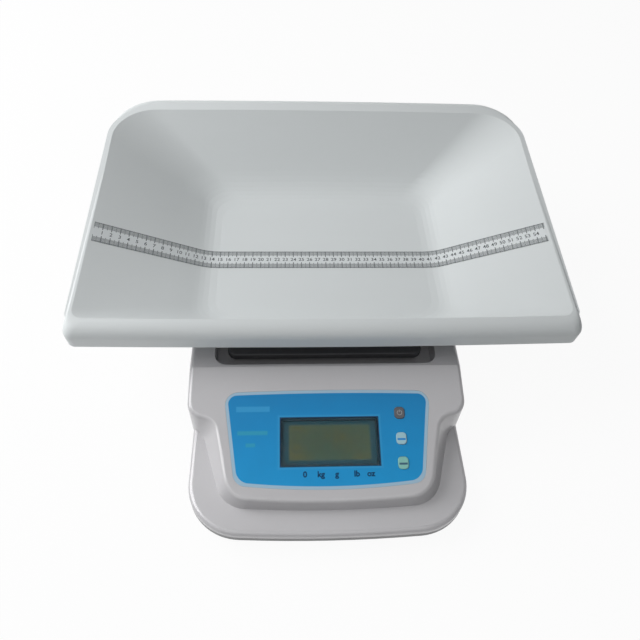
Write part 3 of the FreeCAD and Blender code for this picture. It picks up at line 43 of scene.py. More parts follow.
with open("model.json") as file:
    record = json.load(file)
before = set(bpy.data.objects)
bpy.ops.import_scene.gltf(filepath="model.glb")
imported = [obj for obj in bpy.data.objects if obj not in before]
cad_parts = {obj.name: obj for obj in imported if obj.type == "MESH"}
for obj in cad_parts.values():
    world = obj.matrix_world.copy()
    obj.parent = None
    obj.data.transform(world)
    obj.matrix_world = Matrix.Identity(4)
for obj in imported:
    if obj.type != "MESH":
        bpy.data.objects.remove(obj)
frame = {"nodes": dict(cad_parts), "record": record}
cad_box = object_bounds()

MM = 0.001

# The console's sloped face in millimetres: its foot's place behind the front edge and above
# the table, its rise and its run. FACE turns millimetres across the face (x), up it (y) and
# out of it (z) into a place in the frame.
FACE_BEHIND = 32
FACE_ABOVE = 42
FACE_RISE = 36
FACE_RUN = 139
SLOPE = math.atan2(FACE_RISE, FACE_RUN)
FACE_FOOT = Vector((0, cad_box[0].y + FACE_BEHIND * MM, FACE_ABOVE * MM))
FACE = Matrix.Translation(FACE_FOOT) @ Matrix.Rotation(SLOPE, 4, "X") @ Matrix.Scale(MM, 4)

# The panel's outline on that face: half widths, ends, corner radius and the bow of its ends.
# FILM_TOP is the printed side's height over the face.
PANEL_HALF_FRONT = 99
PANEL_HALF_BACK = 113
PANEL_LOW = 9
PANEL_HIGH = 115.6
PANEL_CORNER = 14
PANEL_BOW_FRONT = 6
PANEL_BOW_BACK = 2
FILM_TOP = -0.1

# The window, the middle of the display that the painted shade at the window's edges leaves clear,
# and the display's front.
WINDOW_X = 1
WINDOW_UP = 59
WINDOW_WIDE = 105
WINDOW_TALL = 52
UNSHADED_HALF_WIDE = 43.5
UNSHADED_HALF_TALL = 18.8
GLASS_TOP = -4.6

# The three keys: their places on the face and the height of their tops over it.
KEY_X = 77.5
KEY_UP = {"power": 89, "tare": 61, "unit": 35}
KEY_TOP = 0.8

# The printed rule in millimetres: its long edges, its ends, where its film turns up the tray's
# walls, how far the turn goes on, and the margin at its ends.
tape_low, tape_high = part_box("measuring_tape")
RULE_LOW = tape_low[1] / MM
RULE_HIGH = tape_high[1] / MM
RULE_MIDDLE = (RULE_LOW + RULE_HIGH) / 2
RULE_HALF = tape_high[0] / MM
RULE_FOLD = 143
FOLD_RUN = 12
END_MARGIN = 4


def tape_surface(node):
    """The film's surface, to be looked down on."""
    corners = [v.co.copy() for v in node.data.vertices]
    return BVHTree.FromPolygons(corners, [f.vertices[:] for f in node.data.polygons])


tape_tree = tape_surface(frame["nodes"]["measuring_tape"])


def film_at(x):
    """The point of the film's middle line at x millimetres, and the film's normal there."""
    metre_above = Vector((x * MM, RULE_MIDDLE * MM, 1))
    point, normal, _, _ = tape_tree.ray_cast(metre_above, Vector((0, 0, -1)))
    return point, normal


# On the walls the film is RULE_STRETCH times as long as its run across. RULE_REACH is its
# length from the middle to an end.
wall_foot = film_at(RULE_FOLD + FOLD_RUN)[0]
wall_top = film_at(RULE_HALF - END_MARGIN)[0]
RULE_STRETCH = (wall_top - wall_foot).length / (wall_top.x - wall_foot.x)
RULE_REACH = RULE_FOLD + (RULE_HALF - RULE_FOLD) * RULE_STRETCH

# ------------------------------------------------------------------ shader maths

# Where a Mix node for colours keeps its factor and two colours, and where it gives the result.
MIX_INPUTS = (0, 6, 7)
MIX_RESULT = 2


class Value:
    """What one output of a shader node gives, with the usual operators for numbers."""

    def __init__(self, nodes, socket):
        self.nodes = nodes
        self.socket = socket

    def _math(self, operation, *others, **settings):
        return self.nodes.node("ShaderNodeMath", {"operation": operation, **settings},
                               [self, *others])

    def __add__(self, other):
        return self._math("ADD", other)

    __radd__ = __add__

    def __sub__(self, other):
        return self._math("SUBTRACT", other)

    def __rsub__(self, other):
        return self.nodes.node("ShaderNodeMath", {"operation": "SUBTRACT"}, [other, self])

    def __mul__(self, other):
        return self._math("MULTIPLY", other)

    __rmul__ = __mul__

    def __truediv__(self, other):
        return self._math("DIVIDE", other)

    def __neg__(self):
        return self._math("MULTIPLY", -1)

    def __abs__(self):
        return self._math("ABSOLUTE")

    def __mod__(self, other):
        return self._math("FLOORED_MODULO", other)

    def low(self, other):
        """The smaller of two values."""
        return self._math("MINIMUM", other)

    def high(self, other):
        """The larger of two values."""
        return self._math("MAXIMUM", other)

    def sine(self):
        return self._math("SINE")

    def root(self):
        return self._math("SQRT")

    def clamped(self):
        """The value, held between 0 and 1."""
        return self._math("ADD", 0, use_clamp=True)

    def between(self, start, end):
        """A number that goes from start to end as the value goes from 0 to 1."""
        return self * (end - start) + start

    def blended(self, other, share):
        """This value with a share of another in it."""
        return self * (1 - share) + other * share

    def over(self, edge, soft):
        """0 below an edge and 1 above it, with a soft step between."""
        return self.nodes.node(
            "ShaderNodeMapRange", {"interpolation_type": "SMOOTHSTEP"},
            {"Value": self, "From Min": edge - soft / 2, "From Max": edge + soft / 2}, "Result")

    def near(self, middle, half, soft):
        """1 within half of a middle and 0 farther off, with soft steps between."""
        return 1 - abs(self - middle).over(half, soft)

    def other(self, output):
        """What another output of the same node gives."""
        return Value(self.nodes, self.socket.node.outputs[output])


class Nodes:
    """The shader nodes of one material or of the world."""

    def __init__(self, tree):
        self.tree = tree

    def node(self, kind, settings, inputs, output=0):
        """Any shader node: its settings first, then the values or links of its sockets."""
        node = self.tree.nodes.new(kind)
        for name, value in settings.items():
            setattr(node, name, value)
        pairs = inputs.items() if isinstance(inputs, dict) else enumerate(inputs)
        for key, value in pairs:
            if isinstance(value, Value):
                self.tree.links.new(value.socket, node.inputs[key])
            else:
                node.inputs[key].default_value = value
        return Value(self, node.outputs[output])


class Paint(Nodes):
    """A material on one Principled shader. Constants go to the shader's own sockets."""

    def __init__(self, name, colour, roughness, **constants):
        self.material = bpy.data.materials.new(name)
        self.material.use_nodes = True
        super().__init__(self.material.node_tree)
        self.shader = self.tree.nodes["Principled BSDF"]
        self.colour = colour
        constants.update(Base_Color=(*colour, 1), Roughness=roughness)
        for socket, value in constants.items():
            self.shader.inputs[socket.replace("_", " ")].default_value = value
        self.place = self.node("ShaderNodeTexCoord", {}, [], "Object")
        self.x = self.node("ShaderNodeSeparateXYZ", {}, [self.place], "X")
        self.y = self.x.other("Y")
        self.z = self.x.other("Z")

    def face(self):
        """Millimetres across and up the console's sloped face."""
        rise = (self.y - FACE_FOOT.y) * math.cos(SLOPE) + (self.z - FACE_FOOT.z) * math.sin(SLOPE)
        return self.x / MM, rise / MM

    def noise(self, scale, detail=2, rough=0.5, place=None):
        """Cloudy noise from 0 to 1."""
        return self.node("ShaderNodeTexNoise", {},
                         {"Vector": place or self.place, "Scale": scale, "Detail": detail,
                          "Roughness": rough}, "Fac")

    def cells(self, scale):
        """The distance to the nearest of many scattered points."""
        return self.node("ShaderNodeTexVoronoi", {}, {"Vector": self.place, "Scale": scale},
                         "Distance")

    def stretched(self, scales):
        """The object's coordinates, scaled along each axis."""
        return self.node("ShaderNodeMapping", {"vector_type": "POINT"},
                         {"Vector": self.place, "Scale": scales})

    def mixed(self, factor, first, second):
        """A colour between two colours, each a triple or a Value."""
        first, second = (c if isinstance(c, Value) else (*c, 1) for c in (first, second))
        return self.node("ShaderNodeMix", {"data_type": "RGBA"},
                         dict(zip(MIX_INPUTS, (factor, first, second))), MIX_RESULT)

    def tinted(self, value, spread):
        """The base colour, lighter or darker by a share as value goes from 0 to 1."""
        dark = [c * (1 - spread) for c in self.colour]
        light = [min(1, c * (1 + spread)) for c in self.colour]
        return self.mixed(value, dark, light)

    def bump(self, height, depth, strength=1.0, under=None):
        """A bumpy surface, its depth in millimetres, over another one if it is given."""
        inputs = {"Height": height, "Distance": depth * MM, "Strength": strength}
        if under:
            inputs["Normal"] = under
        return self.node("ShaderNodeBump", {}, inputs, "Normal")

    def link(self, socket, value):
        """Let a value drive one of the shader's sockets."""
        self.tree.links.new(value.socket, self.shader.inputs[socket])


# ---------------------------------------------------------------------- colours

TRAY_WHITE = (0.672, 0.703, 0.708)
SILVER = (0.48, 0.474, 0.488)
UNDER_GREY = (0.30, 0.30, 0.305)
DOOR_GREY = (0.27, 0.27, 0.275)
RUBBER_BLACK = (0.035, 0.035, 0.037)
PART_BLACK = (0.022, 0.024, 0.028)
PART_WHITE = (0.72, 0.72, 0.70)
POTTING_WHITE = (0.7, 0.7, 0.66)
# The cast's near black is painted shade: it stands in for the deep shade under the tray's front
# lip.
SHADED_CAST_BLACK = (0.045, 0.046, 0.05)
JACKET_BLACK = (0.05, 0.05, 0.055)
ALLOY = (0.74, 0.75, 0.76)
STEEL = (0.60, 0.60, 0.61)
BRASS = (0.72, 0.53, 0.25)

PANEL_BLUE = (0.011, 0.33, 0.70)
# The next colour is painted shade for the back of the panel.
SHADED_PANEL_BLUE = (0.008, 0.165, 0.42)
SKY_BLUE = (0.045, 0.36, 0.68)
SEA_GREEN = (0.05, 0.40, 0.45)
PALE_BLUE = (0.38, 0.56, 0.70)
NAVY = (0.006, 0.045, 0.12)
BEZEL_TEAL = (0.003, 0.024, 0.038)

LCD_GREEN = (0.045, 0.066, 0.045)
LCD_COOL = (0.036, 0.068, 0.048)
LCD_WARM = (0.068, 0.073, 0.032)
# The next colour is painted shade: the dark edge of the display that the deep window's walls
# shade.
LCD_EDGE_SHADE = (0.010, 0.048, 0.065)
SEGMENT_GREEN = (0.028, 0.043, 0.029)

KEY_GREY = (0.085, 0.085, 0.095)
KEY_BLUE = (0.36, 0.58, 0.66)
KEY_BLUE_BAND = (0.02, 0.25, 0.62)
KEY_GREEN = (0.24, 0.54, 0.48)
KEY_GREEN_BAND = (0.03, 0.10, 0.16)

RULE_WHITE = (0.66, 0.69, 0.70)
RULE_INK = (0.05, 0.062, 0.066)
SIGN_GREY = (0.30, 0.31, 0.33)
CIRCLE_BLACK = (0.01, 0.01, 0.01)

FLUID_GREEN = (0.72, 0.93, 0.28)
BUBBLE_GREEN = (0.86, 0.95, 0.62)
CLEAR = (0.96, 0.98, 0.98)
BOARD_GREEN = (0.03, 0.22, 0.10)
MASK_GREEN = (0.02, 0.16, 0.07)
TRACE_GREEN = (0.05, 0.30, 0.13)
SLEEVE_BLACK = (0.03, 0.03, 0.035)
SLEEVE_COPPER = (0.55, 0.26, 0.10)
TIP_STEEL = (0.6, 0.6, 0.61)

TABLE_WHITE = (0.82, 0.82, 0.82)
SURROUND = (0.93, 0.97, 1)
WHITE = (1, 1, 1)

# -------------------------------------------------------------------- materials


def moulded(name, colour, roughness, grain, depth, spread=0.03, **constants):
    """Moulded plastic: a fine spark-eroded grain, faint flow blotches and handling marks."""
    paint = Paint(name, colour, roughness, **constants)
    blotch = paint.noise(9, detail=4, rough=0.6)
    fine = paint.noise(grain, rough=0.6)
    paint.link("Base Color", paint.tinted(blotch.blended(fine, share=0.3), spread))
    worn = paint.noise(40, detail=5, rough=0.65)
    paint.link("Roughness", worn.between(roughness * 0.85, roughness * 1.15))
    paint.link("Normal", paint.bump(fine, depth))
    return paint


def metal(name, colour, roughness, scratch):
    """Worked metal: scratches drawn out along x and a little tarnish."""
    paint = Paint(name, colour, roughness, Metallic=1.0)
    lines = paint.noise(scratch, detail=3, rough=0.7, place=paint.stretched((1, 12, 12)))
    stain = paint.noise(60, detail=4, rough=0.6)
    paint.link("Base Color", paint.tinted(lines.blended(stain, share=0.5), spread=0.06))
    paint.link("Roughness", lines.between(roughness * 0.7, roughness * 1.3))
    paint.link("Normal", paint.bump(lines, depth=0.02))
    return paint


def tray_plastic():
    """Injection-moulded tray: almost smooth, a little wavy where the walls cooled."""
    paint = Paint("tray_plastic", TRAY_WHITE, 0.45, Specular_IOR_Level=0.3)
    wave = paint.noise(14, detail=3, rough=0.55)
    speck = paint.noise(420)
    flow = paint.noise(6, detail=5, rough=0.6, place=paint.stretched((1, 3.5, 2)))
    paint.link("Base Color", paint.tinted(flow.blended(speck, share=0.3), spread=0.025))
    rub = paint.noise(30, detail=6, rough=0.7, place=paint.stretched((1, 2.2, 1)))
    paint.link("Roughness", rub.between(0.37, 0.53))
    fine = paint.bump(speck, depth=0.02)
    paint.link("Normal", paint.bump(wave, depth=0.5, strength=0.35, under=fine))
    return paint


def silver_plastic():
    """Silver-painted housing: metallic flakes in a satin lacquer over a fine grain."""
    paint = Paint("housing_plastic", SILVER, 0.4, Coat_Weight=0.45, Coat_Roughness=0.16)
    flake = paint.cells(2600)
    cloud = paint.noise(12, detail=4, rough=0.6)
    grain = paint.noise(900, rough=0.6)
    paint.link("Base Color", paint.tinted(cloud.blended(flake, share=0.45), spread=0.09))
    paint.link("Metallic", flake.between(0.06, 0.2))
    worn = paint.noise(55, detail=5, rough=0.7)
    paint.link("Roughness", worn.between(0.3, 0.42))
    paint.link("Normal", paint.bump(grain, depth=0.02))
    return paint


def rubber(name, colour):
    """Matt rubber: fine pores and a dusty bloom."""
    paint = Paint(name, colour, 0.75)
    dust = paint.noise(80, detail=5, rough=0.7)
    pore = paint.noise(1400, rough=0.6)
    paint.link("Base Color", paint.tinted(dust, spread=0.35))
    paint.link("Roughness", dust.between(0.62, 0.87))
    paint.link("Normal", paint.bump(pore, depth=0.03))
    return paint


def level_fluid():
    """The level's clear cup and its yellow-green filling."""
    paint = Paint("level_fluid", FLUID_GREEN, 0.06, Transmission_Weight=0.9, IOR=1.33)
    cloud = paint.noise(300, detail=3, rough=0.6)
    paint.link("Base Color", paint.tinted(cloud, spread=0.08))
    paint.link("Roughness", cloud.between(0.04, 0.1))
    return paint


def clear_plastic():
    """The display's clear plate, a little smeared."""
    paint = Paint("clear_plastic", CLEAR, 0.05, Transmission_Weight=1.0, IOR=1.18)
    smear = paint.noise(45, detail=5, rough=0.7)
    paint.link("Roughness", smear.between(0.03, 0.06))
    return paint


def lcd_glass():
    """The display's front glass: olive green with the faint mottling of its rear reflector,
    inside a dark border of painted shade, where the deep window's walls cast shade."""
    paint = Paint("lcd_green", LCD_GREEN, 0.22, Specular_IOR_Level=0.12)
    across, up = paint.face()
    cloud = paint.noise(26, detail=3, rough=0.6)
    green = paint.mixed(cloud.over(0.5, soft=0.5), LCD_COOL, LCD_WARM)
    # Painted shade: outside this middle the glass is dark blue-green, where the window's walls
    # cast shade.
    shown = (across.near(WINDOW_X, UNSHADED_HALF_WIDE, soft=3)
             * up.near(WINDOW_UP, UNSHADED_HALF_TALL, soft=3))
    paint.link("Base Color", paint.mixed(shown, LCD_EDGE_SHADE, green))
    paint.link("Roughness", cloud.between(0.2, 0.3))
    return paint


# The panel's print in millimetres: the pale border, the navy frame round the window, and the
# lighter blue that fades out round the frame. Painted shade darkens the blue from the front to
# the back.
BORDER_WIDE = 3.4
FRAME_WIDE = 0.7
GLOW_WIDE = 3
GLOW_STRENGTH = 0.45
BACK_SHADE_SHARE = 0.6

# Plain bars in the place of words: middle, height, half width, half height, softness of the
# edges, strength and colour.
WORD_BARS = [
    (-81, 95, 18, 3, 1.4, 0.75, SKY_BLUE),
    (-81, 69, 16, 2.2, 2, 0.5, SEA_GREEN),
    (-83, 56, 5, 2, 2, 0.45, SEA_GREEN),
]


def past_panel(across, up):
    """How far a point lies outside the panel's outline. Inside, the number is below 0."""
    side_run = PANEL_HIGH - PANEL_BOW_BACK - PANEL_LOW - PANEL_BOW_FRONT
    side_turn = math.atan2(PANEL_HALF_BACK - PANEL_HALF_FRONT, side_run)
    side = ((abs(across) - PANEL_HALF_FRONT) * math.cos(side_turn)
            - (up - PANEL_LOW - PANEL_BOW_FRONT) * math.sin(side_turn))
    front = across * across * (PANEL_BOW_FRONT / PANEL_HALF_FRONT ** 2) + PANEL_LOW - up
    back = across * across * (PANEL_BOW_BACK / PANEL_HALF_BACK ** 2) + up - PANEL_HIGH
    past_side = side + PANEL_CORNER
    past_end = front.high(back) + PANEL_CORNER
    corner = past_side.high(0) * past_side.high(0) + past_end.high(0) * past_end.high(0)
    return corner.root() + past_side.high(past_end).low(0) - PANEL_CORNER


def panel_film():
    """Printed film: deep blue with a pale border, a navy frame round the window, and three
    plain bars where a maker's words would be."""
    paint = Paint("panel_film", PANEL_BLUE, 0.3, Specular_IOR_Level=0.28)
    across, up = paint.face()
    cloud = paint.noise(22, detail=4, rough=0.6)
    fine = paint.noise(1200, rough=0.6)
    blue = paint.tinted(cloud.blended(fine, share=0.2), spread=0.14)
    # Painted shade: the blue darkens from the front to the back of the panel.
    colour = paint.mixed((up / PANEL_HIGH).clamped() * BACK_SHADE_SHARE, blue, SHADED_PANEL_BLUE)
    past_wide = abs(across - WINDOW_X) - WINDOW_WIDE / 2
    past_tall = abs(up - WINDOW_UP) - WINDOW_TALL / 2
    past_window = past_wide.high(past_tall)
    glow = (1 - past_window.over(GLOW_WIDE, soft=1.6)) * GLOW_STRENGTH
    colour = paint.mixed(glow, colour, SKY_BLUE)
    colour = paint.mixed(1 - past_window.over(FRAME_WIDE, soft=0.3), colour, NAVY)
    for middle, height, half_wide, half_tall, soft, strength, bar_colour in WORD_BARS:
        bar = across.near(middle, half_wide, soft) * up.near(height, half_tall, soft)
        colour = paint.mixed(bar * strength, colour, bar_colour)
    border = past_panel(across, up).over(-BORDER_WIDE, soft=0.5)
    paint.link("Base Color", paint.mixed(border, colour, PALE_BLUE))
    paint.link("Roughness", paint.noise(45, detail=5, rough=0.65).between(0.24, 0.36))
    paint.link("Normal", paint.bump(fine, depth=0.008))
    return paint


# A key's printed band: its distance below the key's middle, half its height and half its width.
BAND_DROP = 1
BAND_HALF_TALL = 1.1
BAND_HALF_WIDE = 4.4


def key_cap(name, colour, key_up=None, band_colour=None):
    """A soft moulded key. A printed band crosses it if the key's height on the face is given."""
    paint = Paint(name, colour, 0.5)
    across, up = paint.face()
    cloud = paint.noise(160, detail=4, rough=0.6)
    grain = paint.noise(900, rough=0.6)
    cap = paint.tinted(cloud.blended(grain, share=0.3), spread=0.1)
    if key_up:
        band = (up.near(key_up - BAND_DROP, BAND_HALF_TALL, soft=0.4)
                * across.near(KEY_X, BAND_HALF_WIDE, soft=0.4))
        cap = paint.mixed(band, cap, band_colour)
    paint.link("Base Color", cap)
    paint.link("Roughness", cloud.between(0.42, 0.58))
    paint.link("Normal", paint.bump(grain, depth=0.03))
    return paint


# The rule's marks at each millimetre, five and ten: pitch, half width and length.
TICKS = [(1, 0.27, 7.0), (5, 0.36, 8.2), (10, 0.5, 9.4)]
EDGE_LINE_IN = 0.8
EDGE_LINE_HALF = 0.4
INK_COVER = 0.93


def rule_print():
    """Printed film of the length rule: millimetre marks and a line along both edges."""
    paint = Paint("tape_film", RULE_WHITE, 0.42)
    across = paint.x / MM
    up = paint.y / MM
    wall = (across - RULE_FOLD).high(0) - (-across - RULE_FOLD).high(0)
    along = across + wall * (RULE_STRETCH - 1) + RULE_REACH
    inward = (up - RULE_LOW).low(RULE_HIGH - up)
    printed = inward.near(EDGE_LINE_IN, EDGE_LINE_HALF, soft=0.2)
    for pitch, half, length in TICKS:
        off = abs((along + pitch / 2) % pitch - pitch / 2)
        printed = printed.high((1 - off.over(half, soft=0.12))
                               * (1 - inward.over(length, soft=0.3)))
    cloud = paint.noise(30, detail=4, rough=0.6)
    speck = paint.noise(900, rough=0.6)
    film = paint.tinted(cloud.blended(speck, share=0.3), spread=0.04)
    paint.link("Base Color", paint.mixed(printed * INK_COVER, film, RULE_INK))
    paint.link("Roughness", cloud.between(0.34, 0.48))
    paint.link("Normal", paint.bump(speck, depth=0.008))
    return paint


# A battery cell's length along x, the middle of its coppery end and half of it, and the bare
# steel at its two tips.
CELL_LONG = 51
COPPER_MIDDLE = CELL_LONG - 8
COPPER_HALF = 6.5
FLAT_TIP = 1.0
NIPPLE_TIP = 1.3


def battery_sleeve():
    """Round cells: a dark printed sleeve with a coppery end, and bare steel at the tips."""
    paint = Paint("battery_sleeve", SLEEVE_BLACK, 0.32)
    across = abs(paint.x / MM) % CELL_LONG
    copper = across.near(COPPER_MIDDLE, COPPER_HALF, soft=0.3)
    tip = across.near(0, FLAT_TIP, soft=0.1).high(across.over(CELL_LONG - NIPPLE_TIP, soft=0.1))
    cloud = paint.noise(50, detail=4, rough=0.6)
    sleeve = paint.mixed(copper, paint.tinted(cloud, spread=0.2), SLEEVE_COPPER)
    paint.link("Base Color", paint.mixed(tip, sleeve, TIP_STEEL))
    paint.link("Metallic", tip * 0.9 + copper * 0.3)
    paint.link("Roughness", cloud.between(0.26, 0.38))
    return paint


def ink(name, colour, **constants):
    """Printing ink on film: thin, a little uneven."""
    paint = Paint(name, colour, 0.45, **constants)
    patch = paint.noise(700, detail=3, rough=0.6)
    paint.link("Base Color", paint.tinted(patch, spread=0.18))
    paint.link("Roughness", patch.between(0.38, 0.53))
    return paint


# The weave of the board's cloth: radians for each metre of the board.
WEAVE_RATE = 1900


def circuit_board():
    """Solder mask over copper areas, with the glass cloth's weave in its gloss."""
    paint = Paint("board_green", BOARD_GREEN, 0.35, Coat_Weight=0.3, Coat_Roughness=0.2)
    weave = (paint.x * WEAVE_RATE).sine() * (paint.y * WEAVE_RATE).sine()
    trace = paint.cells(160).over(0.55, soft=0.05)
    paint.link("Base Color", paint.mixed(trace * 0.8, MASK_GREEN, TRACE_GREEN))
    paint.link("Roughness", 0.32 + weave * 0.05)
    return paint


def lead_jacket():
    """The soft jacket of the inner leads, scuffed by hands and ties."""
    paint = Paint("lead_jacket", JACKET_BLACK, 0.5)
    scuff = paint.noise(220, detail=4, rough=0.7)
    paint.link("Base Color", paint.tinted(scuff, spread=0.3))
    paint.link("Roughness", scuff.between(0.42, 0.62))
    return paint


PAINTS = {
    "tray_plastic": tray_plastic(),
    "tape_film": rule_print(),
    "housing_plastic": silver_plastic(),
    "housing_under": moulded("housing_under", UNDER_GREY, 0.55, grain=900, depth=0.05,
                             spread=0.06),
    "door_plastic": moulded("door_plastic", DOOR_GREY, 0.55, grain=900, depth=0.05,
                            spread=0.06),
    "rubber_dark": rubber("rubber_dark", RUBBER_BLACK),
    "panel_film": panel_film(),
    "clear_plastic": clear_plastic(),
    "black_plastic": moulded("black_plastic", PART_BLACK, 0.45, grain=800, depth=0.03,
                             spread=0.2),
    "lcd_green": lcd_glass(),
    "white_plastic": moulded("white_plastic", PART_WHITE, 0.5, grain=800, depth=0.03),
    "board_green": circuit_board(),
    "alloy": metal("alloy", ALLOY, 0.32, scratch=260),
    # The cast is made near black as painted shade for the gap under the tray.
    "cast_alloy": moulded("cast_alloy", SHADED_CAST_BLACK, 0.6, grain=500, depth=0.12, spread=0.15),
    "steel": metal("steel", STEEL, 0.34, scratch=320),
    "brass": metal("brass", BRASS, 0.34, scratch=320),
    "potting_white": rubber("potting_white", POTTING_WHITE),
    "key_dark": key_cap("key_dark", KEY_GREY),
    "key_blue": key_cap("key_blue", KEY_BLUE, KEY_UP["tare"], KEY_BLUE_BAND),
    "key_green": key_cap("key_green", KEY_GREEN, KEY_UP["unit"], KEY_GREEN_BAND),
    "lead_jacket": lead_jacket(),
}

SLOT_OF = {part["node"]: part["material_slot"] for part in frame["record"]["subparts"]}


def dress(thing, paint):
    """Give every material slot of an object one paint."""
    if not thing.data.materials:
        thing.data.materials.append(paint.material)
    for slot in thing.material_slots:
        slot.material = paint.material


for node_name, node in frame["nodes"].items():
    dress(node, PAINTS[SLOT_OF[node_name]])
dress(frame["nodes"]["battery_cells"], battery_sleeve())
dress(frame["nodes"]["level_vial"], level_fluid())
dress(frame["nodes"]["lcd_bezel"],
      moulded("bezel_teal", BEZEL_TEAL, 0.5, grain=800, depth=0.02, spread=0.15,
              Specular_IOR_Level=0.2))

RULE_INK_PAINT = ink("rule_ink", RULE_INK)
NAVY_INK_PAINT = ink("navy_ink", NAVY, Specular_IOR_Level=0.15)
GREY_INK_PAINT = ink("grey_ink", SIGN_GREY)
BLACK_INK_PAINT = ink("black_ink", CIRCLE_BLACK)
BUBBLE_PAINT = moulded("bubble", BUBBLE_GREEN, 0.12, grain=400, depth=0.01)
SEGMENT_PAINT = ink("unlit_segments", SEGMENT_GREEN, Specular_IOR_Level=0.12)

# ----------------------------------------------------------------- making pieces

# The print's thickness, and the height of its middle over the film.
PRINT_THICK = 0.04
PRINT_LIFT = 0.03


def take_up(piece):
    """Select a piece alone and let the tools act on it."""
    bpy.ops.object.select_all(action="DESELECT")
    piece.select_set(True)
    bpy.context.view_layer.objects.active = piece


def settle(piece, name, body, paint, place):
    """Put a piece in its place, keep the place in its mesh, dress it and let it ride."""
    take_up(piece)
    piece.matrix_world = place @ piece.matrix_world
    bpy.ops.object.transform_apply(location=True, rotation=True, scale=True)
    piece.name = name
    piece.data.name = name
    dress(piece, paint)
    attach(piece, body)


def copied(piece, place):
    """A copy of a piece with its own mesh, moved by a matrix."""
    twin = piece.copy()
    twin.data = piece.data.copy()
    bpy.context.collection.objects.link(twin)
    twin.matrix_world = place @ piece.matrix_world
    return twin


def joined(pieces):
    """One piece made of several."""
    take_up(pieces[0])
    for piece in pieces:
        piece.select_set(True)
    bpy.ops.object.join()
    return bpy.context.object


def thickened(piece, thick):
    """A flat piece or a tube with its wall grown outwards from it."""
    take_up(piece)
    wall = piece.modifiers.new("thickness", "SOLIDIFY")
    wall.thickness = thick
    wall.offset = 1
    bpy.ops.object.modifier_apply(modifier="thickness")
    return piece


def rounded(piece, width):
    """A piece with its sharp edges bevelled in two steps."""
    take_up(piece)
    edge = piece.modifiers.new("edge", "BEVEL")
    edge.width = width
    edge.segments = 2
    edge.limit_method = "ANGLE"
    bpy.ops.object.modifier_apply(modifier="edge")
    return piece


def flat_ring(outer, inner, sides):
    """A flat ring about the origin, still without thickness."""
    bpy.ops.object.select_all(action="DESELECT")
    bpy.ops.mesh.primitive_circle_add(vertices=sides, radius=outer, fill_type="NGON")
    bpy.ops.object.mode_set(mode="EDIT")
    bpy.ops.mesh.inset(thickness=outer - inner)
    bpy.ops.mesh.delete(type="FACE")
    bpy.ops.object.mode_set(mode="OBJECT")
    return bpy.context.object


def lettering(words, height, bold):
    """Flat raised lettering about the origin, as a mesh. Its strokes grow by bold."""
    bpy.ops.object.select_all(action="DESELECT")
    bpy.ops.object.text_add()
    text = bpy.context.object
    text.data.body = words
    text.data.size = height
    text.data.extrude = PRINT_THICK / 2
    text.data.offset = bold
    text.data.resolution_u = 3
    text.data.align_x = "CENTER"
    text.data.align_y = "CENTER"
    take_up(text)
    bpy.ops.object.convert(target="MESH")
    return bpy.context.object


# ---------------------------------------------------------------- rule's numbers

NUMBER_HEIGHT = 7.2
NUMBER_HALF = 3.5
NUMBER_BOLD = 0.08
CENTIMETRE = 10


def rule_x(distance):
    """Where the film is, at a distance along it from its left end."""
    off = distance - RULE_REACH
    wall = max(abs(off) - RULE_FOLD, 0)
    return math.copysign(min(abs(off), RULE_FOLD) + wall / RULE_STRETCH, off)


def rule_numbers():
    """A number at each centimetre of the rule, upright for whoever stands in front. Each lies
    on the chord between the film's points at its two sides."""
    numbers = []
    for count in range(1, int(2 * RULE_REACH / CENTIMETRE)):
        middle = count * CENTIMETRE
        first = film_at(rule_x(middle - NUMBER_HALF))[0]
        last = film_at(rule_x(middle + NUMBER_HALF))[0]
        side = (last - first).normalized()
        upward = film_at(rule_x(middle))[1].cross(side).normalized()
        normal = side.cross(upward)
        place = Matrix((side, upward, normal)).transposed().to_4x4()
        place.translation = (first + last) / 2 + normal * (PRINT_LIFT * MM)
        number = lettering(str(count), NUMBER_HEIGHT, NUMBER_BOLD)
        number.matrix_world = place @ Matrix.Scale(MM, 4)
        numbers.append(number)
    settle(joined(numbers), "rule_numbers", "tray", RULE_INK_PAINT, Matrix())


rule_numbers()

# ------------------------------------------------------- marks on panel and key

# The unit marks under the display, with the places of their middles across the face.
UNIT_MARKS = [("0", -26), ("kg", -9.4), ("g", 7.2), ("lb", 28), ("oz", 42.7)]
MARK_UP = 24.5
MARK_HEIGHT = 8.4
MARK_BOLD = 0.3

# The power sign: its ring's radii, its stroke's width, how many times as long the stroke is
# and where its middle lies, and the half width and the foot of the ring's gap.
SIGN_OUTER = 2.9
SIGN_INNER = 2.1
STROKE_WIDE = 0.8
STROKE_RATIO = 3.4
STROKE_UP = SIGN_OUTER * 0.7
GAP_HALF = STROKE_WIDE * 1.3
GAP_FOOT = SIGN_INNER * 0.8
SIGN_THICK = 0.06
SIGN_LIFT = 0.01


def unit_marks():
    """The navy unit marks under the display."""
    for words, across in UNIT_MARKS:
        mark = lettering(words, MARK_HEIGHT, MARK_BOLD)
        place = FACE @ Matrix.Translation((across, MARK_UP, FILM_TOP + PRINT_LIFT))
        settle(mark, "mark_" + words, "base", NAVY_INK_PAINT, place)


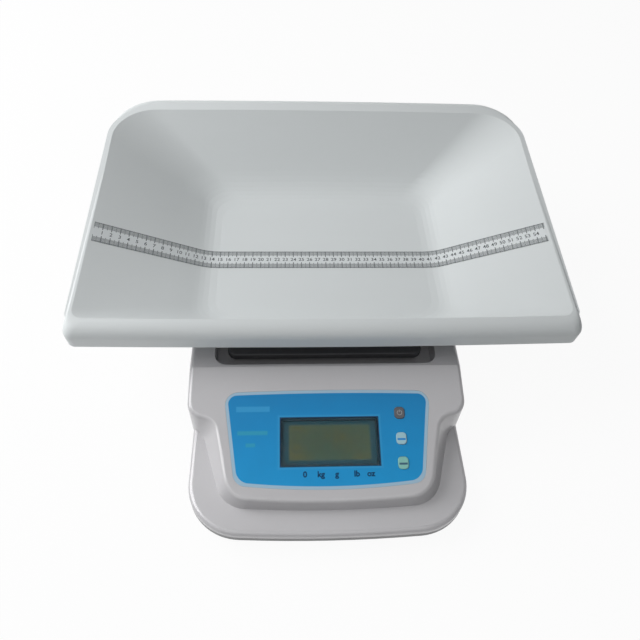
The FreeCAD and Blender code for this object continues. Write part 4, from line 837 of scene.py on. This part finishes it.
def power_sign():
    """The usual sign for on and off: an open ring with a stroke in its gap."""
    ring = flat_ring(SIGN_OUTER, SIGN_INNER, sides=40)
    for face in ring.data.polygons:
        face.select = face.center.y > GAP_FOOT and abs(face.center.x) < GAP_HALF
    bpy.ops.object.mode_set(mode="EDIT")
    bpy.ops.mesh.select_mode(type="FACE")
    bpy.ops.mesh.delete(type="FACE")
    bpy.ops.object.mode_set(mode="OBJECT")
    bpy.ops.mesh.primitive_plane_add(size=STROKE_WIDE, location=(0, STROKE_UP, 0))
    bpy.ops.transform.resize(value=(1, STROKE_RATIO, 1))
    stroke = bpy.context.object
    sign = thickened(joined([ring, stroke]), SIGN_THICK)
    place = FACE @ Matrix.Translation((KEY_X, KEY_UP["power"], KEY_TOP + SIGN_LIFT))
    settle(sign, "power_sign", "key_power", GREY_INK_PAINT, place)


unit_marks()
power_sign()

# ------------------------------------------------------------- unlit display digits

# The five digits: the size, points and step of their bars, the pitch and lean of the digits,
# and the place of their middle.
BAR_LONG = 9.5
BAR_WIDE = 1.8
BAR_POINT = BAR_WIDE * 0.48
BAR_STEP = BAR_LONG + 1
BAR_THICK = 0.05
BAR_LIFT = 0.02
DIGIT_COUNT = 5
DIGIT_PITCH = 16
DIGIT_LEAN = math.radians(6)
DIGITS_X = WINDOW_X - 2
DIGITS_UP = WINDOW_UP + 1


def display_bar():
    """One bar of a digit, with pointed ends."""
    bpy.ops.object.select_all(action="DESELECT")
    bpy.ops.mesh.primitive_plane_add(size=1)
    bpy.ops.transform.resize(value=(BAR_LONG, BAR_WIDE, 1))
    bpy.ops.object.transform_apply(scale=True)
    bpy.ops.object.mode_set(mode="EDIT")
    bpy.ops.mesh.select_all(action="SELECT")
    bpy.ops.mesh.bevel(offset=BAR_POINT, affect="VERTICES")
    bpy.ops.object.mode_set(mode="OBJECT")
    return bpy.context.object


def display_digits():
    """Seven bars for each digit, as they show in a display at rest."""
    flat = display_bar()
    spots = [Matrix.Translation((0, up, 0)) for up in (BAR_STEP, 0, -BAR_STEP)]
    for side in (-1, 1):
        for end in (-1, 1):
            spot = Matrix.Translation((side * BAR_STEP / 2, end * BAR_STEP / 2, 0))
            spots.append(spot @ Matrix.Rotation(math.pi / 2, 4, "Z"))
    lean = Matrix.Identity(4)
    lean[0][1] = math.tan(DIGIT_LEAN)
    bars = []
    for digit in range(DIGIT_COUNT):
        middle = DIGITS_X + (digit - (DIGIT_COUNT - 1) / 2) * DIGIT_PITCH
        bars += [copied(flat, Matrix.Translation((middle, 0, 0)) @ lean @ spot) for spot in spots]
    bpy.data.objects.remove(flat)
    digits = thickened(joined(bars), BAR_THICK)
    place = FACE @ Matrix.Translation((0, DIGITS_UP, GLASS_TOP + BAR_LIFT))
    settle(digits, "display_digits", "base", SEGMENT_PAINT, place)


display_digits()

# ------------------------------------------------- level, socket and battery door

# The level's bubble, cut off flat at its top, its depth under the cup's top, and the circle.
BUBBLE_RADIUS = 2.7
BUBBLE_FLATNESS = 0.45
BUBBLE_TOP = 0.5
BUBBLE_DEPTH = 0.8
CIRCLE_OUTER = 4.1
CIRCLE_INNER = 3.6
CIRCLE_THICK = 0.05

# The socket's sleeve: its inner radius, length, wall and edge, its middle's depth, and the
# turn up to which its faces are shaded as one.
SLEEVE_RADIUS = 2.5
SLEEVE_LONG = 6
SLEEVE_WALL = 0.25
SLEEVE_EDGE = 0.08
SLEEVE_DEPTH = 3.4
SMOOTH_TURN = math.radians(30)

# The arrow head: its underside's height over the table, its distance behind the door's
# middle, its radius, its height and its rounded edge.
ARROW_UNDERSIDE = 7.82
ARROW_BEHIND = 4
ARROW_RADIUS = 5
ARROW_HEIGHT = 0.3
ARROW_EDGE = 0.1


def middle_of(node_name):
    """The middle of a node's box."""
    low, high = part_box(node_name)
    return (Vector(low) + Vector(high)) / 2


def level_marks():
    """The level's bubble, and the black circle that it has to stand in."""
    cup_top = middle_of("level_vial")
    cup_top.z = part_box("level_vial")[1][2]
    bpy.ops.object.select_all(action="DESELECT")
    bpy.ops.mesh.primitive_uv_sphere_add(segments=32, ring_count=16, radius=BUBBLE_RADIUS)
    bpy.ops.transform.resize(value=(1, 1, BUBBLE_FLATNESS))
    bubble = bpy.context.object
    bpy.ops.object.transform_apply(scale=True)
    bpy.ops.object.mode_set(mode="EDIT")
    bpy.ops.mesh.select_all(action="SELECT")
    bpy.ops.mesh.bisect(plane_co=(0, 0, BUBBLE_TOP), plane_no=(0, 0, 1), clear_outer=True,
                        use_fill=True)
    bpy.ops.object.mode_set(mode="OBJECT")
    on_cup = Matrix.Translation(cup_top)
    in_cup = Matrix.Translation(cup_top + Vector((0, 0, -BUBBLE_DEPTH * MM)))
    settle(bubble, "level_bubble", "base", BUBBLE_PAINT,
           in_cup @ Matrix.Scale(MM, 4))
    circle = thickened(flat_ring(CIRCLE_OUTER, CIRCLE_INNER, sides=48), CIRCLE_THICK)
    settle(circle, "level_circle", "base", BLACK_INK_PAINT,
           on_cup @ Matrix.Scale(MM, 4))


def socket_sleeve():
    """The sprung sleeve in the mouth of the socket."""
    mouth = middle_of("dc_inlet")
    mouth.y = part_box("dc_inlet")[1][1] - SLEEVE_DEPTH * MM
    bpy.ops.object.select_all(action="DESELECT")
    bpy.ops.mesh.primitive_cylinder_add(vertices=48, radius=SLEEVE_RADIUS, depth=SLEEVE_LONG,
                                        end_fill_type="NOTHING")
    sleeve = rounded(thickened(bpy.context.object, SLEEVE_WALL), SLEEVE_EDGE)
    bpy.ops.object.shade_smooth_by_angle(angle=SMOOTH_TURN)
    place = Matrix.Translation(mouth) @ Matrix.Rotation(math.pi / 2, 4, "X")
    settle(sleeve, "socket_sleeve", "base", PAINTS["steel"],
           place @ Matrix.Scale(MM, 4))


def door_arrow():
    """A raised arrow head under the battery door, the way that it opens."""
    place = middle_of("battery_door")
    place.y += ARROW_BEHIND * MM
    place.z = ARROW_UNDERSIDE * MM
    bpy.ops.object.select_all(action="DESELECT")
    bpy.ops.mesh.primitive_circle_add(vertices=3, radius=ARROW_RADIUS, fill_type="NGON")
    arrow = bpy.context.object
    bpy.ops.object.mode_set(mode="EDIT")
    bpy.ops.mesh.select_all(action="SELECT")
    bpy.ops.mesh.extrude_region_move(TRANSFORM_OT_translate={"value": (0, 0, ARROW_HEIGHT)})
    bpy.ops.mesh.select_all(action="SELECT")
    bpy.ops.mesh.normals_make_consistent(inside=False)
    bpy.ops.object.mode_set(mode="OBJECT")
    to_front = Matrix.Translation(place) @ Matrix.Rotation(math.pi, 4, "Z")
    settle(rounded(arrow, ARROW_EDGE), "door_arrow", "battery_door",
           PAINTS["door_plastic"], to_front @ Matrix.Scale(MM, 4))


level_marks()
socket_sleeve()
door_arrow()

# ------------------------------------------------------------------------ camera

# The lens in pixels of a square frame, the camera's eye in metres, and its turns.
LENS_PIXELS = 615.441
FRAME_PIXELS = 640
SENSOR = 36
PITCH = math.radians(51.003)
YAW = math.radians(4.642)
ROLL = math.radians(3.29)
EYE = Vector((-0.04208, cad_box[0].y - 0.21957, 0.64402))

ahead = Vector((math.sin(YAW) * math.cos(PITCH), math.cos(YAW) * math.cos(PITCH),
                -math.sin(PITCH)))
level = Vector((math.cos(YAW), -math.sin(YAW), 0))
upright = level.cross(ahead)
right = math.cos(ROLL) * level + math.sin(ROLL) * upright
above = math.cos(ROLL) * upright - math.sin(ROLL) * level

bpy.ops.object.camera_add()
camera = bpy.context.object
camera.data.lens = SENSOR * LENS_PIXELS / FRAME_PIXELS
camera.data.sensor_width = SENSOR
turn = Matrix((right, above, -ahead)).transposed().to_4x4()
camera.matrix_world = Matrix.Translation(EYE) @ turn
bpy.context.scene.camera = camera
bpy.context.scene.view_settings.view_transform = "Standard"

# ------------------------------------------------------------------------- light

# The lamps face the middle of the scale. Each has its place and width in metres and its power
# in watts.
MIDDLE = Vector((0, 0, 0.08))
LAMPS = {
    "key_light": ((-1.58, 0.42, 1.24), 1.8, 46),
    "top_light": ((-0.1, 0.7, 1.9), 1.6, 2),
    "front_light": ((-0.3, -1.4, 1.5), 2.2, 11),
}

# The surround's light on the scale, the share of plain white in the table as it is seen, the
# table's width in metres and its distance below the feet in millimetres.
SURROUND_STRENGTH = 0.06
WHITE_SHARE = 0.94
TABLE_WIDE = 8
TABLE_GAP = 0.05


def soft_box(name, place, width, power):
    """A square lamp that faces the middle of the scale."""
    bpy.ops.object.light_add(type="AREA", location=place)
    lamp = bpy.context.object
    lamp.name = name
    lamp.data.size = width
    lamp.data.energy = power
    lamp.rotation_mode = "QUATERNION"
    lamp.rotation_quaternion = (MIDDLE - Vector(place)).to_track_quat("-Z", "Y")


def seen_plainly(nodes):
    """1 for a ray from the camera, a mirror or clear plastic, and 0 for light on the scale."""
    from_camera = nodes.node("ShaderNodeLightPath", {}, [], "Is Camera Ray")
    from_mirror = from_camera.other("Is Glossy Ray")
    through_clear = from_camera.other("Is Transmission Ray")
    return from_camera.high(from_mirror).high(through_clear)


def end_in(nodes, output, share, lit, plain):
    """Close a material or the world with two shaders: one lit, and a share of a plain one."""
    both = nodes.node("ShaderNodeMixShader", {}, [share, lit, plain])
    nodes.tree.links.new(both.socket, nodes.tree.nodes[output].inputs["Surface"])


def sky():
    """An even pale surround, plain white where it is seen."""
    world = bpy.data.worlds.new("surround")
    world.use_nodes = True
    bpy.context.scene.world = world
    nodes = Nodes(world.node_tree)
    background = world.node_tree.nodes["Background"]
    background.inputs["Color"].default_value = (*SURROUND, 1)
    background.inputs["Strength"].default_value = SURROUND_STRENGTH
    soft = Value(nodes, background.outputs[0])
    white = nodes.node("ShaderNodeBackground", {}, {"Color": (*WHITE, 1)})
    end_in(nodes, "World Output", seen_plainly(nodes), soft, white)


def floor():
    """A pale table top, nearly white where it is seen, that keeps the scale's shadow."""
    bpy.ops.object.select_all(action="DESELECT")
    bpy.ops.mesh.primitive_plane_add(size=TABLE_WIDE,
                                     location=(0, 0, cad_box[0].z - TABLE_GAP * MM))
    top = bpy.context.object
    top.name = "table_top"
    paint = Paint("table_white", TABLE_WHITE, 0.85)
    cloth = paint.noise(300, detail=3, rough=0.6)
    paint.link("Normal", paint.bump(cloth, depth=0.05))
    lit = Value(paint, paint.shader.outputs[0])
    white = paint.node("ShaderNodeEmission", {}, {"Color": (*WHITE, 1), "Strength": 1})
    end_in(paint, "Material Output", seen_plainly(paint) * WHITE_SHARE, lit, white)
    dress(top, paint)


for lamp_name, (lamp_place, lamp_width, lamp_power) in LAMPS.items():
    soft_box(lamp_name, lamp_place, lamp_width, lamp_power)
sky()
floor()
